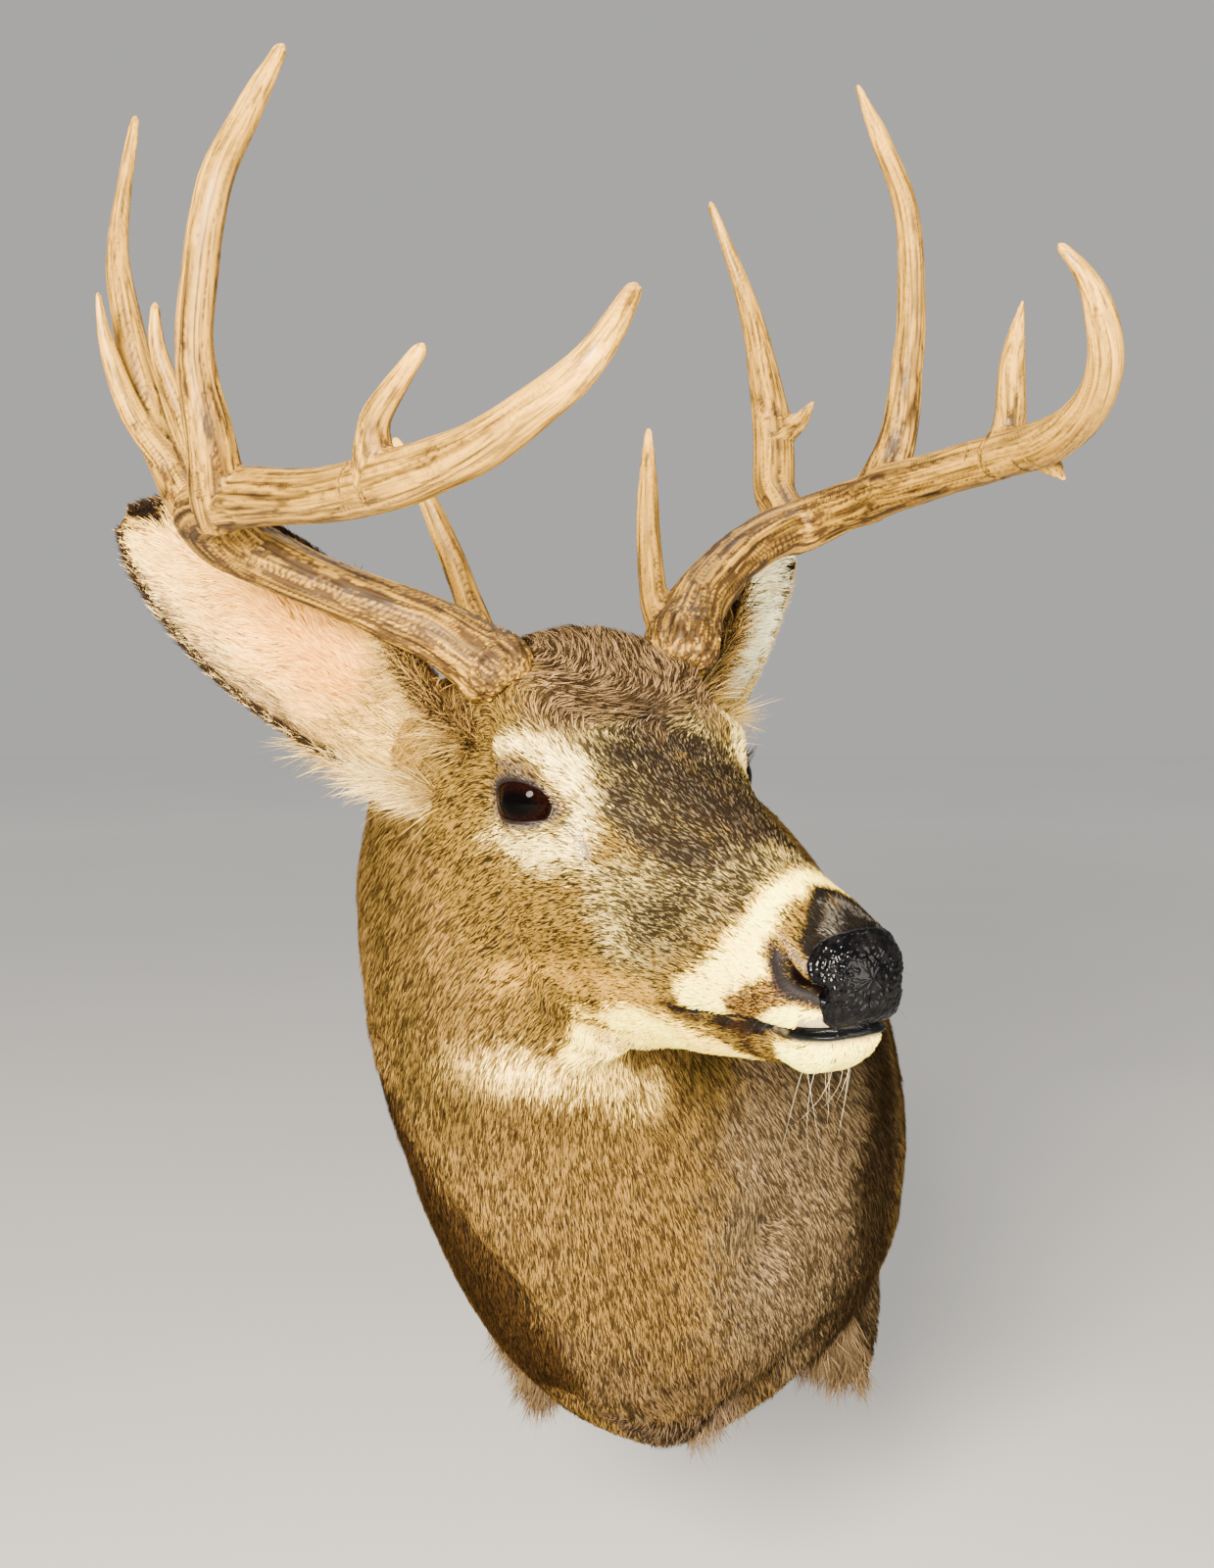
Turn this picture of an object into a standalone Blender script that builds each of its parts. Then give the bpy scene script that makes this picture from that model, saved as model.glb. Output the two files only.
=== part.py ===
"""A whitetail buck shoulder mount: head turned to its left, neck, shoulders, antlers and the backing board.

Standalone Blender script. Units are metres, +Z is up, and the wall is the plane Y = 0.
The origin is the middle of the board's back face, and the buck looks out along -Y.
Sizes that belong to the head are in millimetres in the head's own frame:
x forward along the mouth, y to the buck's left, z up, from the point midway between the eyes.
"""

import math

import bmesh
import bpy
import numpy as np
from mathutils import Matrix, Vector

MM = 0.001
GAP = 0.0003

# Pose of the head: where the point between its eyes is, and how the head is turned from facing out
HEAD_AT = (-0.0285, -0.375, 0.2075)
HEAD_TURN = math.radians(30.2)
HEAD_NOD = math.radians(1.5)
HEAD_TILT = math.radians(2.3)

# Sections of the head, in mm: x, top, bottom, half width, height of the widest line,
# roundness above and below it (2 is an ellipse, more is boxy, less is keeled)
HEAD_SECTIONS = (
    (198.0, -56, -66, 6, -61, 2.0, 2.0),
    (196.5, -48, -75, 14, -61, 2.1, 2.2),
    (192.0, -42, -86, 20.5, -63, 2.2, 2.3),
    (186.0, -38, -98, 24, -65, 2.2, 2.3),
    (176.0, -34, -106, 27, -67, 2.2, 2.2),
    (162.0, -28, -111, 29, -69, 2.2, 2.1),
    (140.0, -20, -113, 31.5, -68, 2.1, 2.0),
    (110.0, -8, -117, 35.5, -62, 2.1, 2.0),
    (80.0, 5, -121, 41, -52, 2.15, 2.0),
    (50.0, 18, -125, 47.5, -38, 2.3, 1.9),
    (25.0, 29, -130, 55, -22, 2.5, 1.9),
    (0.0, 41, -135, 62, -8, 2.6, 1.8),
    (-28.0, 56, -138, 65, 0, 2.5, 1.8),
)

# Sections of the neck and body, from the poll to the wall, in metres: distance from the wall and
# height of the top, the same of the bottom, sideways shift, turn in degrees, tilt in degrees,
# half width, share of the height where it is widest, roundness above and below
BODY_SECTIONS = (
    (0.334, 0.283, 0.350, 0.062, -0.0500, 30.0, 2.2, 0.067, 0.60, 2.4, 1.85),
    (0.306, 0.279, 0.351, 0.056, -0.0650, 29.5, 2.0, 0.073, 0.58, 2.3, 1.9),
    (0.280, 0.270, 0.346, 0.046, -0.080, 27.5, 1.5, 0.082, 0.54, 2.2, 2.0),
    (0.255, 0.262, 0.340, 0.020, -0.088, 24.0, 1.0, 0.090, 0.51, 2.1, 2.0),
    (0.230, 0.250, 0.330, -0.018, -0.085, 19.0, 0.5, 0.099, 0.48, 2.0, 2.0),
    (0.200, 0.236, 0.311, -0.070, -0.070, 13.0, 0.0, 0.110, 0.46, 1.9, 1.9),
    (0.170, 0.222, 0.282, -0.128, -0.048, 8.0, 0.0, 0.122, 0.45, 1.85, 1.8),
    (0.135, 0.211, 0.236, -0.186, -0.026, 4.0, 0.0, 0.137, 0.43, 1.8, 1.65),
    (0.090, 0.202, 0.160, -0.226, -0.010, 1.0, 0.0, 0.150, 0.41, 1.75, 1.75),
    (0.045, 0.195, 0.080, -0.212, -0.003, 0.0, 0.0, 0.157, 0.39, 1.7, 2.4),
    (0.000, 0.188, 0.000, -0.196, 0.000, 0.0, 0.0, 0.157, 0.38, 1.7, 2.8),
)

# Rounded rises and hollows of the head, on both sides, in mm: from, to, reach, height
HEAD_FORMS = (
    ((2, 62, 2), (-16, 65, 4), 16, 4.0),
    ((8, 52, 22), (-22, 62, 26), 11, 8.5),
    ((34, 48, -22), (-40, 58, -16), 13, 3.5),
    ((-42, 62, 14), (-48, 60, 16), 14, -5.0),
    ((26, 52, -8), (46, 43, -27), 6, -3.5),
    ((-12, 50, -58), (-34, 50, -66), 24, 4.5),
    ((84, 36, -44), (52, 42, -52), 15, -3.0),
    ((128, 30, -40), (140, 30, -42), 14, -1.5),
    ((170, 28, -70), (158, 29, -74), 9, 3.0),
    ((174, 16, -104), (162, 15, -108), 14, 2.5),
    ((20, 12, 34), (50, 10, 20), 14, -2.5),
    ((-46, 14, 64), (-60, 10, 64), 24, 3.0),
    ((-32, 42, 44), (-48, 50, 52), 16, 12.0),
    ((-84, 66, 14), (-94, 66, 16), 22, 9.0),
)

# The line of the mouth from its corner to the front, as x and z in mm, and the groove along it
MOUTH_LINE = ((86, -94), (116, -91), (146, -88), (172, -87), (206, -83))
MOUTH_GROOVE = (4.0, -2.0)
LIP_STEP = 3.0
LIP_DEPTH = 22
MOUTH_CORNER_FADE = 14

# Where the neck begins and ends, as stations of the skin
NECK_FROM = 15.2
NECK_TO = 19.6
STATION_GAP = 0.012
SIDES = 40

# Stubs of the forelegs, in metres: x, distance from the wall, height, and the three half sizes
LEG_STUBS = (
    (-0.082, 0.032, -0.186, 0.032, 0.038, 0.070),
    (0.115, 0.036, -0.176, 0.029, 0.042, 0.066),
)

# Eyes, in mm in the head's frame: middle, the way the eye looks, and the opening of the lids
EYE_MIDDLE = (-8.5, 52.5, -1.5)
EYE_AXIS = (0.46, 0.88, 0.07)
EYE_RADIUS = 19.0
LID_THICKNESS = 2.6
EYE_BACK = 104
LID_BACK = 84
EYE_STEPS = 24
EYE_ROWS = 12
EYE_OPENING = (19.0, 10.4)
EYE_SLANT = math.radians(-8)
LID_FUNNEL = ((4.0, 1.0), (40.0, 1.25))

# Nose pad as seen from the side, x and z in mm, and the nostrils
NOSE_OUTLINE = (
    (225, -20),
    (186, -26),
    (181, -40),
    (172, -52),
    (170, -64),
    (179, -73),
    (186, -79.5),
    (225, -79.5),
)
NOSTRIL = ((193, 12, -60), (186, 19, -57), (177, 25.5, -57), (168, 29, -63))
NOSTRIL_RADII = (3.0, 5.0, 4.2, 2.0)
CUT_REACH = 90

# Lower jaw as seen from the side, x and z in mm
JAW_OUTLINE = (*MOUTH_LINE[::-1], (62, -101), (34, -118), (10, -150), (230, -150), (230, -84))

# Ears, one row per station from root to tip in mm: x, y, z, half width, opening half angle in
# degrees and thickness; y is outward
EAR_RIGHT = (
    (-78, 48, 4, 18, 120, 7.0),
    (-94, 64, 18, 26, 118, 6.5),
    (-116, 83, 38, 36, 104, 5.5),
    (-137, 107, 64, 42, 84, 4.5),
    (-152, 134, 89, 43, 66, 4.0),
    (-165, 162, 112, 35, 52, 3.5),
    (-175, 185, 129, 22, 42, 3.2),
    (-181, 199, 138, 7, 36, 3.0),
)
EAR_LEFT = (
    (-76, 48, 10, 15, 120, 7.0),
    (-88, 70, 24, 19, 118, 6.5),
    (-104, 97, 40, 26, 104, 5.5),
    (-122, 127, 56, 33, 84, 4.5),
    (-140, 157, 71, 36, 66, 4.0),
    (-156, 186, 86, 31, 52, 3.5),
    (-168, 208, 97, 20, 42, 3.2),
    (-174, 219, 102, 7, 36, 3.0),
)
EAR_OPENS = (0.90, 0.30, -0.25)
EAR_SIDES = 9
EAR_RIM_THINNING = 0.45
EAR_FOLD_BACK = 0.35

# Antlers, in mm: x, y outward, z and radius along each beam and tine, root first
RIGHT_ANTLER = {
    "beam": (
        (-38, 50, 50, 15.0),
        (-41, 53, 56, 19.5),
        (-45, 57, 61, 21.0),
        (-51, 65, 68, 18.0),
        (-64, 82, 82, 16.5),
        (-85, 119, 100, 14.5),
        (-99, 152, 117, 15.0),
        (-102, 170, 128, 17.0),
        (-96, 183, 138, 17.0),
        (-84, 190, 144, 15.5),
        (-60, 190, 148, 15.0),
        (-33, 184, 150, 14.0),
        (24, 176, 151, 13.0),
        (86, 169, 158, 13.0),
        (136, 156, 170, 11.2),
        (170, 145, 186, 9.4),
        (190, 136, 199, 8.0),
        (197, 126, 213, 6.2),
        (193, 112, 230, 4.2),
    ),
    "brow_tine": (
        (-57, 56, 66, 12.0),
        (-63, 55, 78, 9.5),
        (-72, 56, 94, 7.5),
        (-85, 61, 124, 6.5),
        (-96, 68, 151, 5.0),
        (-107, 76, 174, 3.0),
    ),
    "second_tine": (
        (-104, 172, 130, 13.0),
        (-126, 181, 145, 12.0),
        (-142, 184, 160, 11.0),
        (-157, 191, 196, 10.0),
        (-175, 195, 247, 7.5),
        (-187, 192, 283, 5.5),
        (-193, 178, 341, 2.6),
    ),
    "third_tine": (
        (-66, 188, 140, 14.0),
        (-54, 196, 156, 13.5),
        (-46, 200, 176, 12.0),
        (-45, 206, 213, 9.5),
        (-39, 205, 249, 9.0),
        (-33, 197, 293, 8.5),
        (-34, 181, 322, 7.0),
        (-31, 164, 352, 4.0),
    ),
    "fourth_tine": (
        (74, 171, 158, 11.0),
        (78, 174, 172, 9.0),
        (82, 174, 184, 7.0),
        (90, 169, 196, 5.8),
        (102, 162, 211, 4.0),
    ),
}
RIGHT_KICKERS = {
    "second_tine": (
        (-142, 186, 165, 8.0),
        (-145, 203, 190, 7.0),
        (-147, 214, 224, 4.5),
        (-148, 217, 249, 2.2),
    ),
    "third_tine": (
        (-56, 200, 164, 8.0),
        (-64, 207, 190, 6.0),
        (-72, 214, 218, 4.5),
        (-74, 214, 239, 2.6),
    ),
}
LEFT_ANTLER = {
    "beam": (
        (-38, 50, 53, 15.0),
        (-41, 53, 60, 19.5),
        (-45, 57, 66, 21.0),
        (-51, 65, 73, 18.0),
        (-64, 82, 88, 16.0),
        (-86, 120, 107, 14.5),
        (-100, 154, 118, 14.5),
        (-103, 172, 121, 15.5),
        (-96, 182, 126, 15.0),
        (-82, 186, 131, 14.0),
        (-60, 187, 136, 13.8),
        (-33, 184, 143, 13.5),
        (24, 176, 152, 12.5),
        (86, 169, 162, 12.2),
        (136, 157, 170, 11.0),
        (172, 146, 185, 9.3),
        (192, 136, 204, 8.8),
        (199, 126, 224, 7.2),
        (199, 117, 240, 5.0),
        (193, 109, 252, 3.0),
    ),
    "brow_tine": (
        (-57, 56, 66, 12.0),
        (-62, 55, 76, 9.5),
        (-70, 55, 88, 8.0),
        (-84, 61, 115, 7.0),
        (-95, 68, 146, 6.0),
        (-108, 77, 177, 2.4),
    ),
    "second_tine": (
        (-104, 172, 116, 13.0),
        (-124, 178, 129, 12.5),
        (-142, 183, 142, 12.5),
        (-154, 191, 174, 12.0),
        (-175, 195, 228, 8.0),
        (-188, 192, 264, 5.5),
        (-198, 178, 310, 2.4),
    ),
    "third_tine": (
        (-50, 186, 136, 14.0),
        (-46, 194, 154, 12.5),
        (-43, 200, 174, 10.5),
        (-45, 206, 205, 9.0),
        (-39, 205, 245, 8.0),
        (-33, 197, 292, 7.0),
        (-33, 181, 326, 5.5),
        (-31, 164, 354, 2.4),
    ),
    "fourth_tine": (
        (74, 171, 158, 11.0),
        (79, 174, 172, 9.0),
        (82, 174, 184, 8.0),
        (90, 168, 209, 6.5),
        (103, 163, 235, 1.6),
    ),
}
LEFT_KICKERS = {
    "second_tine": (
        (-150, 190, 172, 9.0),
        (-148, 205, 181, 6.0),
        (-149, 216, 192, 2.2),
    ),
    "beam": (
        (112, 164, 164, 9.0),
        (115, 172, 156, 6.0),
        (117, 177, 150, 2.2),
    ),
}
ANTLER_SIDES = 10
KICKER_SIDES = 8
BEAM_SPLIT = 9
TIP_SHARE = 0.62
TIP_REACH = 1.6

# Backing board, let in to the back of the form
BOARD_THICKNESS = 0.018
BOARD_INSET = 0.008
BOARD_SLACK = 0.0007
CUT_BACK = -0.01


def head_axes():
    """The head's x, y and z axes as columns, in the wall's frame."""
    side = np.array([math.cos(HEAD_TURN), math.sin(HEAD_TURN), 0.0])
    out = np.array([math.sin(HEAD_TURN), -math.cos(HEAD_TURN), 0.0])
    up = np.array([0.0, 0.0, 1.0])
    forward = math.cos(HEAD_NOD) * out - math.sin(HEAD_NOD) * up
    crown = math.cos(HEAD_NOD) * up + math.sin(HEAD_NOD) * out
    left = math.cos(HEAD_TILT) * side + math.sin(HEAD_TILT) * crown
    top = math.cos(HEAD_TILT) * crown - math.sin(HEAD_TILT) * side
    return np.stack([forward, left, top], axis=1)


HEAD_AXES = head_axes()


def from_head(points):
    """Points in the head's frame, in mm, to metres in the wall's frame."""
    return np.asarray(points, float) * MM @ HEAD_AXES.T + np.array(HEAD_AT)


def to_head(points):
    return (np.asarray(points, float) - np.array(HEAD_AT)) @ HEAD_AXES / MM


def stations():
    """One row per section: centre, turn, lean, tilt, half width, rise, drop and the two roundnesses."""
    rows = []
    for x, top, bottom, half, widest, above, below in HEAD_SECTIONS:
        centre = from_head((x, 0, widest))
        angles = (HEAD_TURN, -HEAD_NOD, HEAD_TILT)
        sizes = (half * MM, (top - widest) * MM, (widest - bottom) * MM)
        rows.append((*centre, *angles, *sizes, above, below))
    for out_t, high_t, out_b, high_b, shift, turn, tilt, half, share, above, below in BODY_SECTIONS:
        lean = math.atan2(out_b - out_t, high_t - high_b)
        height = math.hypot(out_b - out_t, high_t - high_b)
        out = out_b + share * (out_t - out_b)
        centre = (shift, -out, high_b + share * (high_t - high_b))
        angles = (math.radians(turn), lean, math.radians(tilt))
        rows.append((*centre, *angles, half, (1 - share) * height, share * height, above, below))
    return np.array(rows)


STATIONS = stations()
LAST = len(STATIONS) - 1


def along(at):
    """The section values at a fractional station, on a smooth curve through the stations."""
    at = np.clip(np.asarray(at, float), 0, LAST)
    i = np.minimum(at.astype(int), LAST - 1)
    f = (at - i)[:, None]
    p0, p1 = STATIONS[np.maximum(i - 1, 0)], STATIONS[i]
    p2, p3 = STATIONS[i + 1], STATIONS[np.minimum(i + 2, LAST)]
    m1, m2 = (p2 - p0) / 2, (p3 - p1) / 2
    return (
        (2 * f**3 - 3 * f**2 + 1) * p1
        + (f**3 - 2 * f**2 + f) * m1
        + (3 * f**2 - 2 * f**3) * p2
        + (f**3 - f**2) * m2
    )


def plain_skin(at, around):
    """Points of the body's smooth skin: at is the station of each, around its angle from the top line."""
    v = along(at)
    centre, turn, lean, tilt = v[:, :3], v[:, 3], v[:, 4], v[:, 5]
    half, rise, drop, above, below = (v[:, k] for k in range(6, 11))
    zero = np.zeros_like(turn)
    side = np.stack([np.cos(turn), np.sin(turn), zero], 1)
    out = np.stack([np.sin(turn), -np.cos(turn), zero], 1)
    up = np.cos(lean)[:, None] * np.array([0, 0, 1.0]) - np.sin(lean)[:, None] * out
    left = np.cos(tilt)[:, None] * side + np.sin(tilt)[:, None] * up
    top = np.cos(tilt)[:, None] * up - np.sin(tilt)[:, None] * side
    s, c = np.sin(around), np.cos(around)
    power = 2 / np.where(c >= 0, above, below)
    y = half * np.sign(s) * np.abs(s) ** power
    z = np.where(c >= 0, rise, drop) * np.sign(c) * np.abs(c) ** power
    return centre + y[:, None] * left + z[:, None] * top


def near_line(points, start, end):
    """Distance of each point from the line between two points."""
    a, b = np.array(start, float), np.array(end, float)
    run = b - a
    t = np.clip((points - a) @ run / max(run @ run, 1e-9), 0, 1)
    return np.linalg.norm(points - a - t[:, None] * run, axis=1)


def form_height(head):
    """How far the forms of the head stand out of the smooth skin, in mm, at points of the head's frame."""
    folded = head * (1, 0, 1)
    folded[:, 1] = np.abs(head[:, 1])
    rise = np.zeros(len(head))
    for start, end, reach, height in HEAD_FORMS:
        rise += height * np.exp(-((near_line(folded, start, end) / reach) ** 2))
    line = np.array(MOUTH_LINE, float)
    level = np.interp(head[:, 0], line[:, 0], line[:, 1])
    below = level - head[:, 2]
    within = np.clip((head[:, 0] - line[0, 0]) / MOUTH_CORNER_FADE, 0, 1)
    reach, depth = MOUTH_GROOVE
    rise += depth * within * np.exp(-((below / reach) ** 2))
    rise -= LIP_STEP * within * np.clip(below / 3, 0, 1) * np.exp(-((below / LIP_DEPTH) ** 2))
    return rise


def skin(at, around, outward=0.0):
    """Points of the skin with the forms of the head on it, moved outward by a distance in metres."""
    step = 1e-3
    here = plain_skin(at, around)
    back = plain_skin(np.clip(at + step, 0, LAST), around) - plain_skin(np.clip(at - step, 0, LAST), around)
    round_ = plain_skin(at, around + step) - plain_skin(at, around - step)
    normal = np.cross(round_, back)
    normal /= np.maximum(np.linalg.norm(normal, axis=1), 1e-12)[:, None]
    rise = form_height(to_head(here)) * MM + outward
    return here + rise[:, None] * normal


def even_around(at, sides):
    """Angles that space the points of one ring evenly along it."""
    fine = np.linspace(0, 2 * np.pi, 721)
    ring = plain_skin(np.full(721, at), fine)
    length = np.concatenate([[0], np.cumsum(np.linalg.norm(np.diff(ring, axis=0), axis=1))])
    return np.interp(np.linspace(0, length[-1], sides, endpoint=False), length, fine)


def new_object(name, points, faces):
    mesh = bpy.data.meshes.new(name)
    mesh.from_pydata([tuple(p) for p in points], [], faces)
    mesh.validate()
    obj = bpy.data.objects.new(name, mesh)
    bpy.context.scene.collection.objects.link(obj)
    face_outward(obj)
    return obj


def face_outward(obj):
    work = bmesh.new()
    work.from_mesh(obj.data)
    bmesh.ops.recalc_face_normals(work, faces=work.faces)
    work.to_mesh(obj.data)
    work.free()


def tube(name, rings):
    """A closed solid through rings of equally many points, its ends closed by fans."""
    count = len(rings[0])
    points = [p for ring in rings for p in ring]
    faces = []
    for r in range(len(rings) - 1):
        for k in range(count):
            n = (k + 1) % count
            faces.append((r * count + k, r * count + n, (r + 1) * count + n))
            faces.append((r * count + k, (r + 1) * count + n, (r + 1) * count + k))
    for r in (0, len(rings) - 1):
        middle = len(points)
        points.append(np.mean(rings[r], axis=0))
        faces += [(r * count + k, r * count + (k + 1) % count, middle) for k in range(count)]
    return new_object(name, points, faces)


def skin_tube(name, stations_at, outward=0.0, sides=SIDES):
    rings = [skin(np.full(sides, at), even_around(at, sides), outward) for at in stations_at]
    return tube(name, rings)


def cut_or_join(target, others, operation, solver="MANIFOLD"):
    """Joins or cuts closed solids, then removes them and keeps the largest body that is left."""
    group = bpy.data.collections.new("others")
    for other in others:
        group.objects.link(other)
    step = target.modifiers.new("step", "BOOLEAN")
    step.operation = operation
    step.operand_type = "COLLECTION"
    step.collection = group
    step.solver = solver
    graph = bpy.context.evaluated_depsgraph_get()
    made = bpy.data.meshes.new_from_object(target.evaluated_get(graph))
    target.modifiers.clear()
    target.data = made
    for other in others:
        bpy.data.objects.remove(other)
    bpy.data.collections.remove(group)
    keep_largest(target)
    return target


def keep_largest(obj):
    """Removes every loose piece of the mesh but the one with the most volume."""
    work = bmesh.new()
    work.from_mesh(obj.data)
    bmesh.ops.triangulate(work, faces=work.faces)
    bmesh.ops.remove_doubles(work, verts=work.verts, dist=2e-7)
    bmesh.ops.dissolve_degenerate(work, edges=work.edges, dist=2e-7)
    left = set(work.faces)
    bodies = []
    while left:
        found = {left.pop()}
        edge = list(found)
        while edge:
            near = {f for e in edge.pop().edges for f in e.link_faces} & left
            left -= near
            found |= near
            edge += near
        volume = sum(
            f.verts[0].co.dot(f.verts[1].co.cross(f.verts[2].co)) for f in found
        )
        bodies.append((abs(volume), found))
    best = max(bodies, key=lambda body: body[0])[1]
    bmesh.ops.delete(work, geom=[f for f in work.faces if f not in best], context="FACES")
    loose = [v for v in work.verts if not v.link_faces]
    bmesh.ops.delete(work, geom=loose, context="VERTS")
    work.to_mesh(obj.data)
    work.free()


def copy_of(obj, name):
    made = obj.copy()
    made.data = obj.data.copy()
    made.name = name
    bpy.context.scene.collection.objects.link(made)
    return made


def slab(name, outline, half_width):
    """A solid with the given x and z outline in the head's frame, both sides of the middle, in mm."""
    count = len(outline)
    points = [from_head((x, y, z)) for y in (-half_width, half_width) for x, z in outline]
    faces = [tuple(range(count)), tuple(range(count, 2 * count))[::-1]]
    for k in range(count):
        n = (k + 1) % count
        faces.append((k, n, count + n, count + k))
    return new_object(name, points, faces)


def grown(outline, distance):
    """The outline moved outward by a distance, in mm."""
    line = np.array(outline, float)
    x, z = line.T
    turn = np.sign((x * np.roll(z, -1) - np.roll(x, -1) * z).sum())
    edge = np.roll(line, -1, axis=0) - line
    edge /= np.linalg.norm(edge, axis=1)[:, None]
    out = turn * np.stack([edge[:, 1], -edge[:, 0]], 1)
    before = np.roll(out, 1, axis=0)
    bisector = out + before
    bisector /= (bisector * out).sum(axis=1)[:, None]
    return [tuple(p) for p in line + distance * bisector]


def frame_along(direction):
    """Two directions across the given one."""
    along_ = np.array(direction, float)
    along_ /= np.linalg.norm(along_)
    across = np.cross(along_, (0, 0, 1))
    across /= np.linalg.norm(across)
    return along_, across, np.cross(across, along_)


def smooth_rows(rows, times):
    """More rows, on a smooth curve through the given ones."""
    rows = np.array(rows, float)
    count = len(rows)
    at = np.linspace(0, count - 1, (count - 1) * times + 1)
    i = np.minimum(at.astype(int), count - 2)
    f = (at - i)[:, None]
    p0, p1 = rows[np.maximum(i - 1, 0)], rows[i]
    p2, p3 = rows[i + 1], rows[np.minimum(i + 2, count - 1)]
    m1, m2 = (p2 - p0) / 2, (p3 - p1) / 2
    return (
        (2 * f**3 - 3 * f**2 + 1) * p1
        + (f**3 - 2 * f**2 + f) * m1
        + (3 * f**2 - 2 * f**3) * p2
        + (f**3 - f**2) * m2
    )


def horn(name, rows, mirror, sides=ANTLER_SIDES, thicker=0.0, span=(0, None)):
    """A round solid along rows of x, y, z and radius in mm; mirror puts it on the right side.

    A span keeps only the stretch between two of the rows, the later piece a gap away from the earlier.
    """
    times = 2
    rows = smooth_rows(rows, times)
    rows[:, 1] *= mirror
    rows[:, 3] += thicker
    path = rows[:, :3]
    run = np.gradient(path, axis=0)
    run /= np.linalg.norm(run, axis=1)[:, None]
    across = np.cross(run[0], (0.3, 0.2, 1.0))
    rings = []
    turn = np.arange(sides) * 2 * np.pi / sides
    first = span[0] * times
    last = len(rows) - 1 if span[1] is None else span[1] * times
    ends = [(k, 1.0) for k in range(last + 1)]
    if span[1] is None:
        ends.append((last, TIP_SHARE))
    for k, share in ends:
        across = across - (across @ run[k]) * run[k]
        across /= np.linalg.norm(across)
        if k < first:
            continue
        other = np.cross(run[k], across)
        centre = path[k] + run[k] * (1 - share) * TIP_REACH * rows[k, 3]
        if first and k == first:
            centre = centre + run[k] * GAP / MM
        radius = rows[k, 3] * share
        ring = centre + radius * (np.cos(turn)[:, None] * across + np.sin(turn)[:, None] * other)
        rings.append(from_head(ring))
    return tube(name, rings)


def make_ear(name, rows, mirror):
    """The cup of an ear: a strip rolled round its long axis, closed at the root and open toward the tip."""
    rows = smooth_rows(rows, 2)
    rows[:, 1] *= mirror
    path = rows[:, :3]
    run = np.gradient(path, axis=0)
    run /= np.linalg.norm(run, axis=1)[:, None]
    opens = np.array(EAR_OPENS) * (1, mirror, 1)
    rings = []
    for k, row in enumerate(rows):
        front = opens - (opens @ run[k]) * run[k]
        front /= np.linalg.norm(front)
        side = np.cross(front, run[k])
        half, spread, thick = row[3], math.radians(row[4]), row[5]
        radius = half / math.sin(min(spread, math.pi / 2))
        turn = np.linspace(-spread, spread, EAR_SIDES)
        rim = 1 - EAR_RIM_THINNING * np.abs(np.linspace(-1, 1, EAR_SIDES)) ** 3
        inner, outer = radius - thick * rim / 2, radius + thick * rim / 2
        centre = path[k] + front * (radius - EAR_FOLD_BACK * half)
        arcs = [
            centre + r[:, None] * (np.sin(turn)[:, None] * side - np.cos(turn)[:, None] * front)
            for r in (inner, outer)
        ]
        rings.append(from_head(np.concatenate([arcs[0], arcs[1][::-1]])))
    return ear_from(name, rings)


def ear_from(name, rings):
    """Closes the strip's rings with quads across its thickness at the root and the tip."""
    count = len(rings[0])
    points = [p for ring in rings for p in ring]
    faces = []
    for r in range(len(rings) - 1):
        for k in range(count):
            n = (k + 1) % count
            faces.append((r * count + k, r * count + n, (r + 1) * count + n, (r + 1) * count + k))
    for r in (0, len(rings) - 1):
        for k in range(count // 2 - 1):
            m = count - 1 - k
            faces.append((r * count + k, r * count + k + 1, r * count + m - 1, r * count + m))
    return new_object(name, points, faces)


def eye_ball(name, mirror, radius, back, rows=EYE_ROWS):
    """A dome of glass that looks outward, with a flat back."""
    middle = np.array(EYE_MIDDLE) * (1, mirror, 1)
    look, across, up = frame_along(np.array(EYE_AXIS) * (1, mirror, 1))
    turn = np.arange(EYE_STEPS) * 2 * np.pi / EYE_STEPS
    rings = []
    for polar in np.radians(np.linspace(6, back, rows)):
        ring = radius * math.cos(polar) * look + radius * math.sin(polar) * (
            np.cos(turn)[:, None] * across + np.sin(turn)[:, None] * up
        )
        rings.append(from_head(middle + ring))
    return tube(name, rings)


def lid_opening(name, mirror):
    """The almond between the lids, as a solid that reaches out of the eye."""
    middle = np.array(EYE_MIDDLE) * (1, mirror, 1)
    look, across, up = frame_along(np.array(EYE_AXIS) * (1, mirror, 1))
    forward = across if across[0] > 0 else -across
    wide, high = EYE_OPENING
    rings = []
    for out, share in LID_FUNNEL:
        ring = []
        for turn in np.arange(EYE_STEPS) * 2 * np.pi / EYE_STEPS:
            x = math.cos(turn)
            z = math.sin(turn)
            x = math.copysign(abs(x) ** 1.1, x)
            z = math.copysign(abs(z) ** 1.15, z) * (1.0 + 0.12 * x * math.copysign(1, -z))
            a = x * wide * math.cos(EYE_SLANT) - z * high * math.sin(EYE_SLANT)
            b = x * wide * math.sin(EYE_SLANT) + z * high * math.cos(EYE_SLANT)
            ring.append(from_head(middle + look * out + share * (a * forward + b * up)))
        rings.append(ring)
    return tube(name, rings)


def make_eyes():
    """Both eyes, with the lids and openings that the head gets for them."""
    lids, sockets, openings = [], [], []
    for side, mirror in (("left", 1), ("right", -1)):
        eye_ball("eye_" + side, mirror, EYE_RADIUS, EYE_BACK)
        lids.append(eye_ball("lid", mirror, EYE_RADIUS + LID_THICKNESS, LID_BACK, 10))
        sockets.append(eye_ball("socket", mirror, EYE_RADIUS + GAP / MM, EYE_BACK + 1.2))
        openings.append(lid_opening("opening", mirror))
    return lids, sockets, openings


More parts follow.
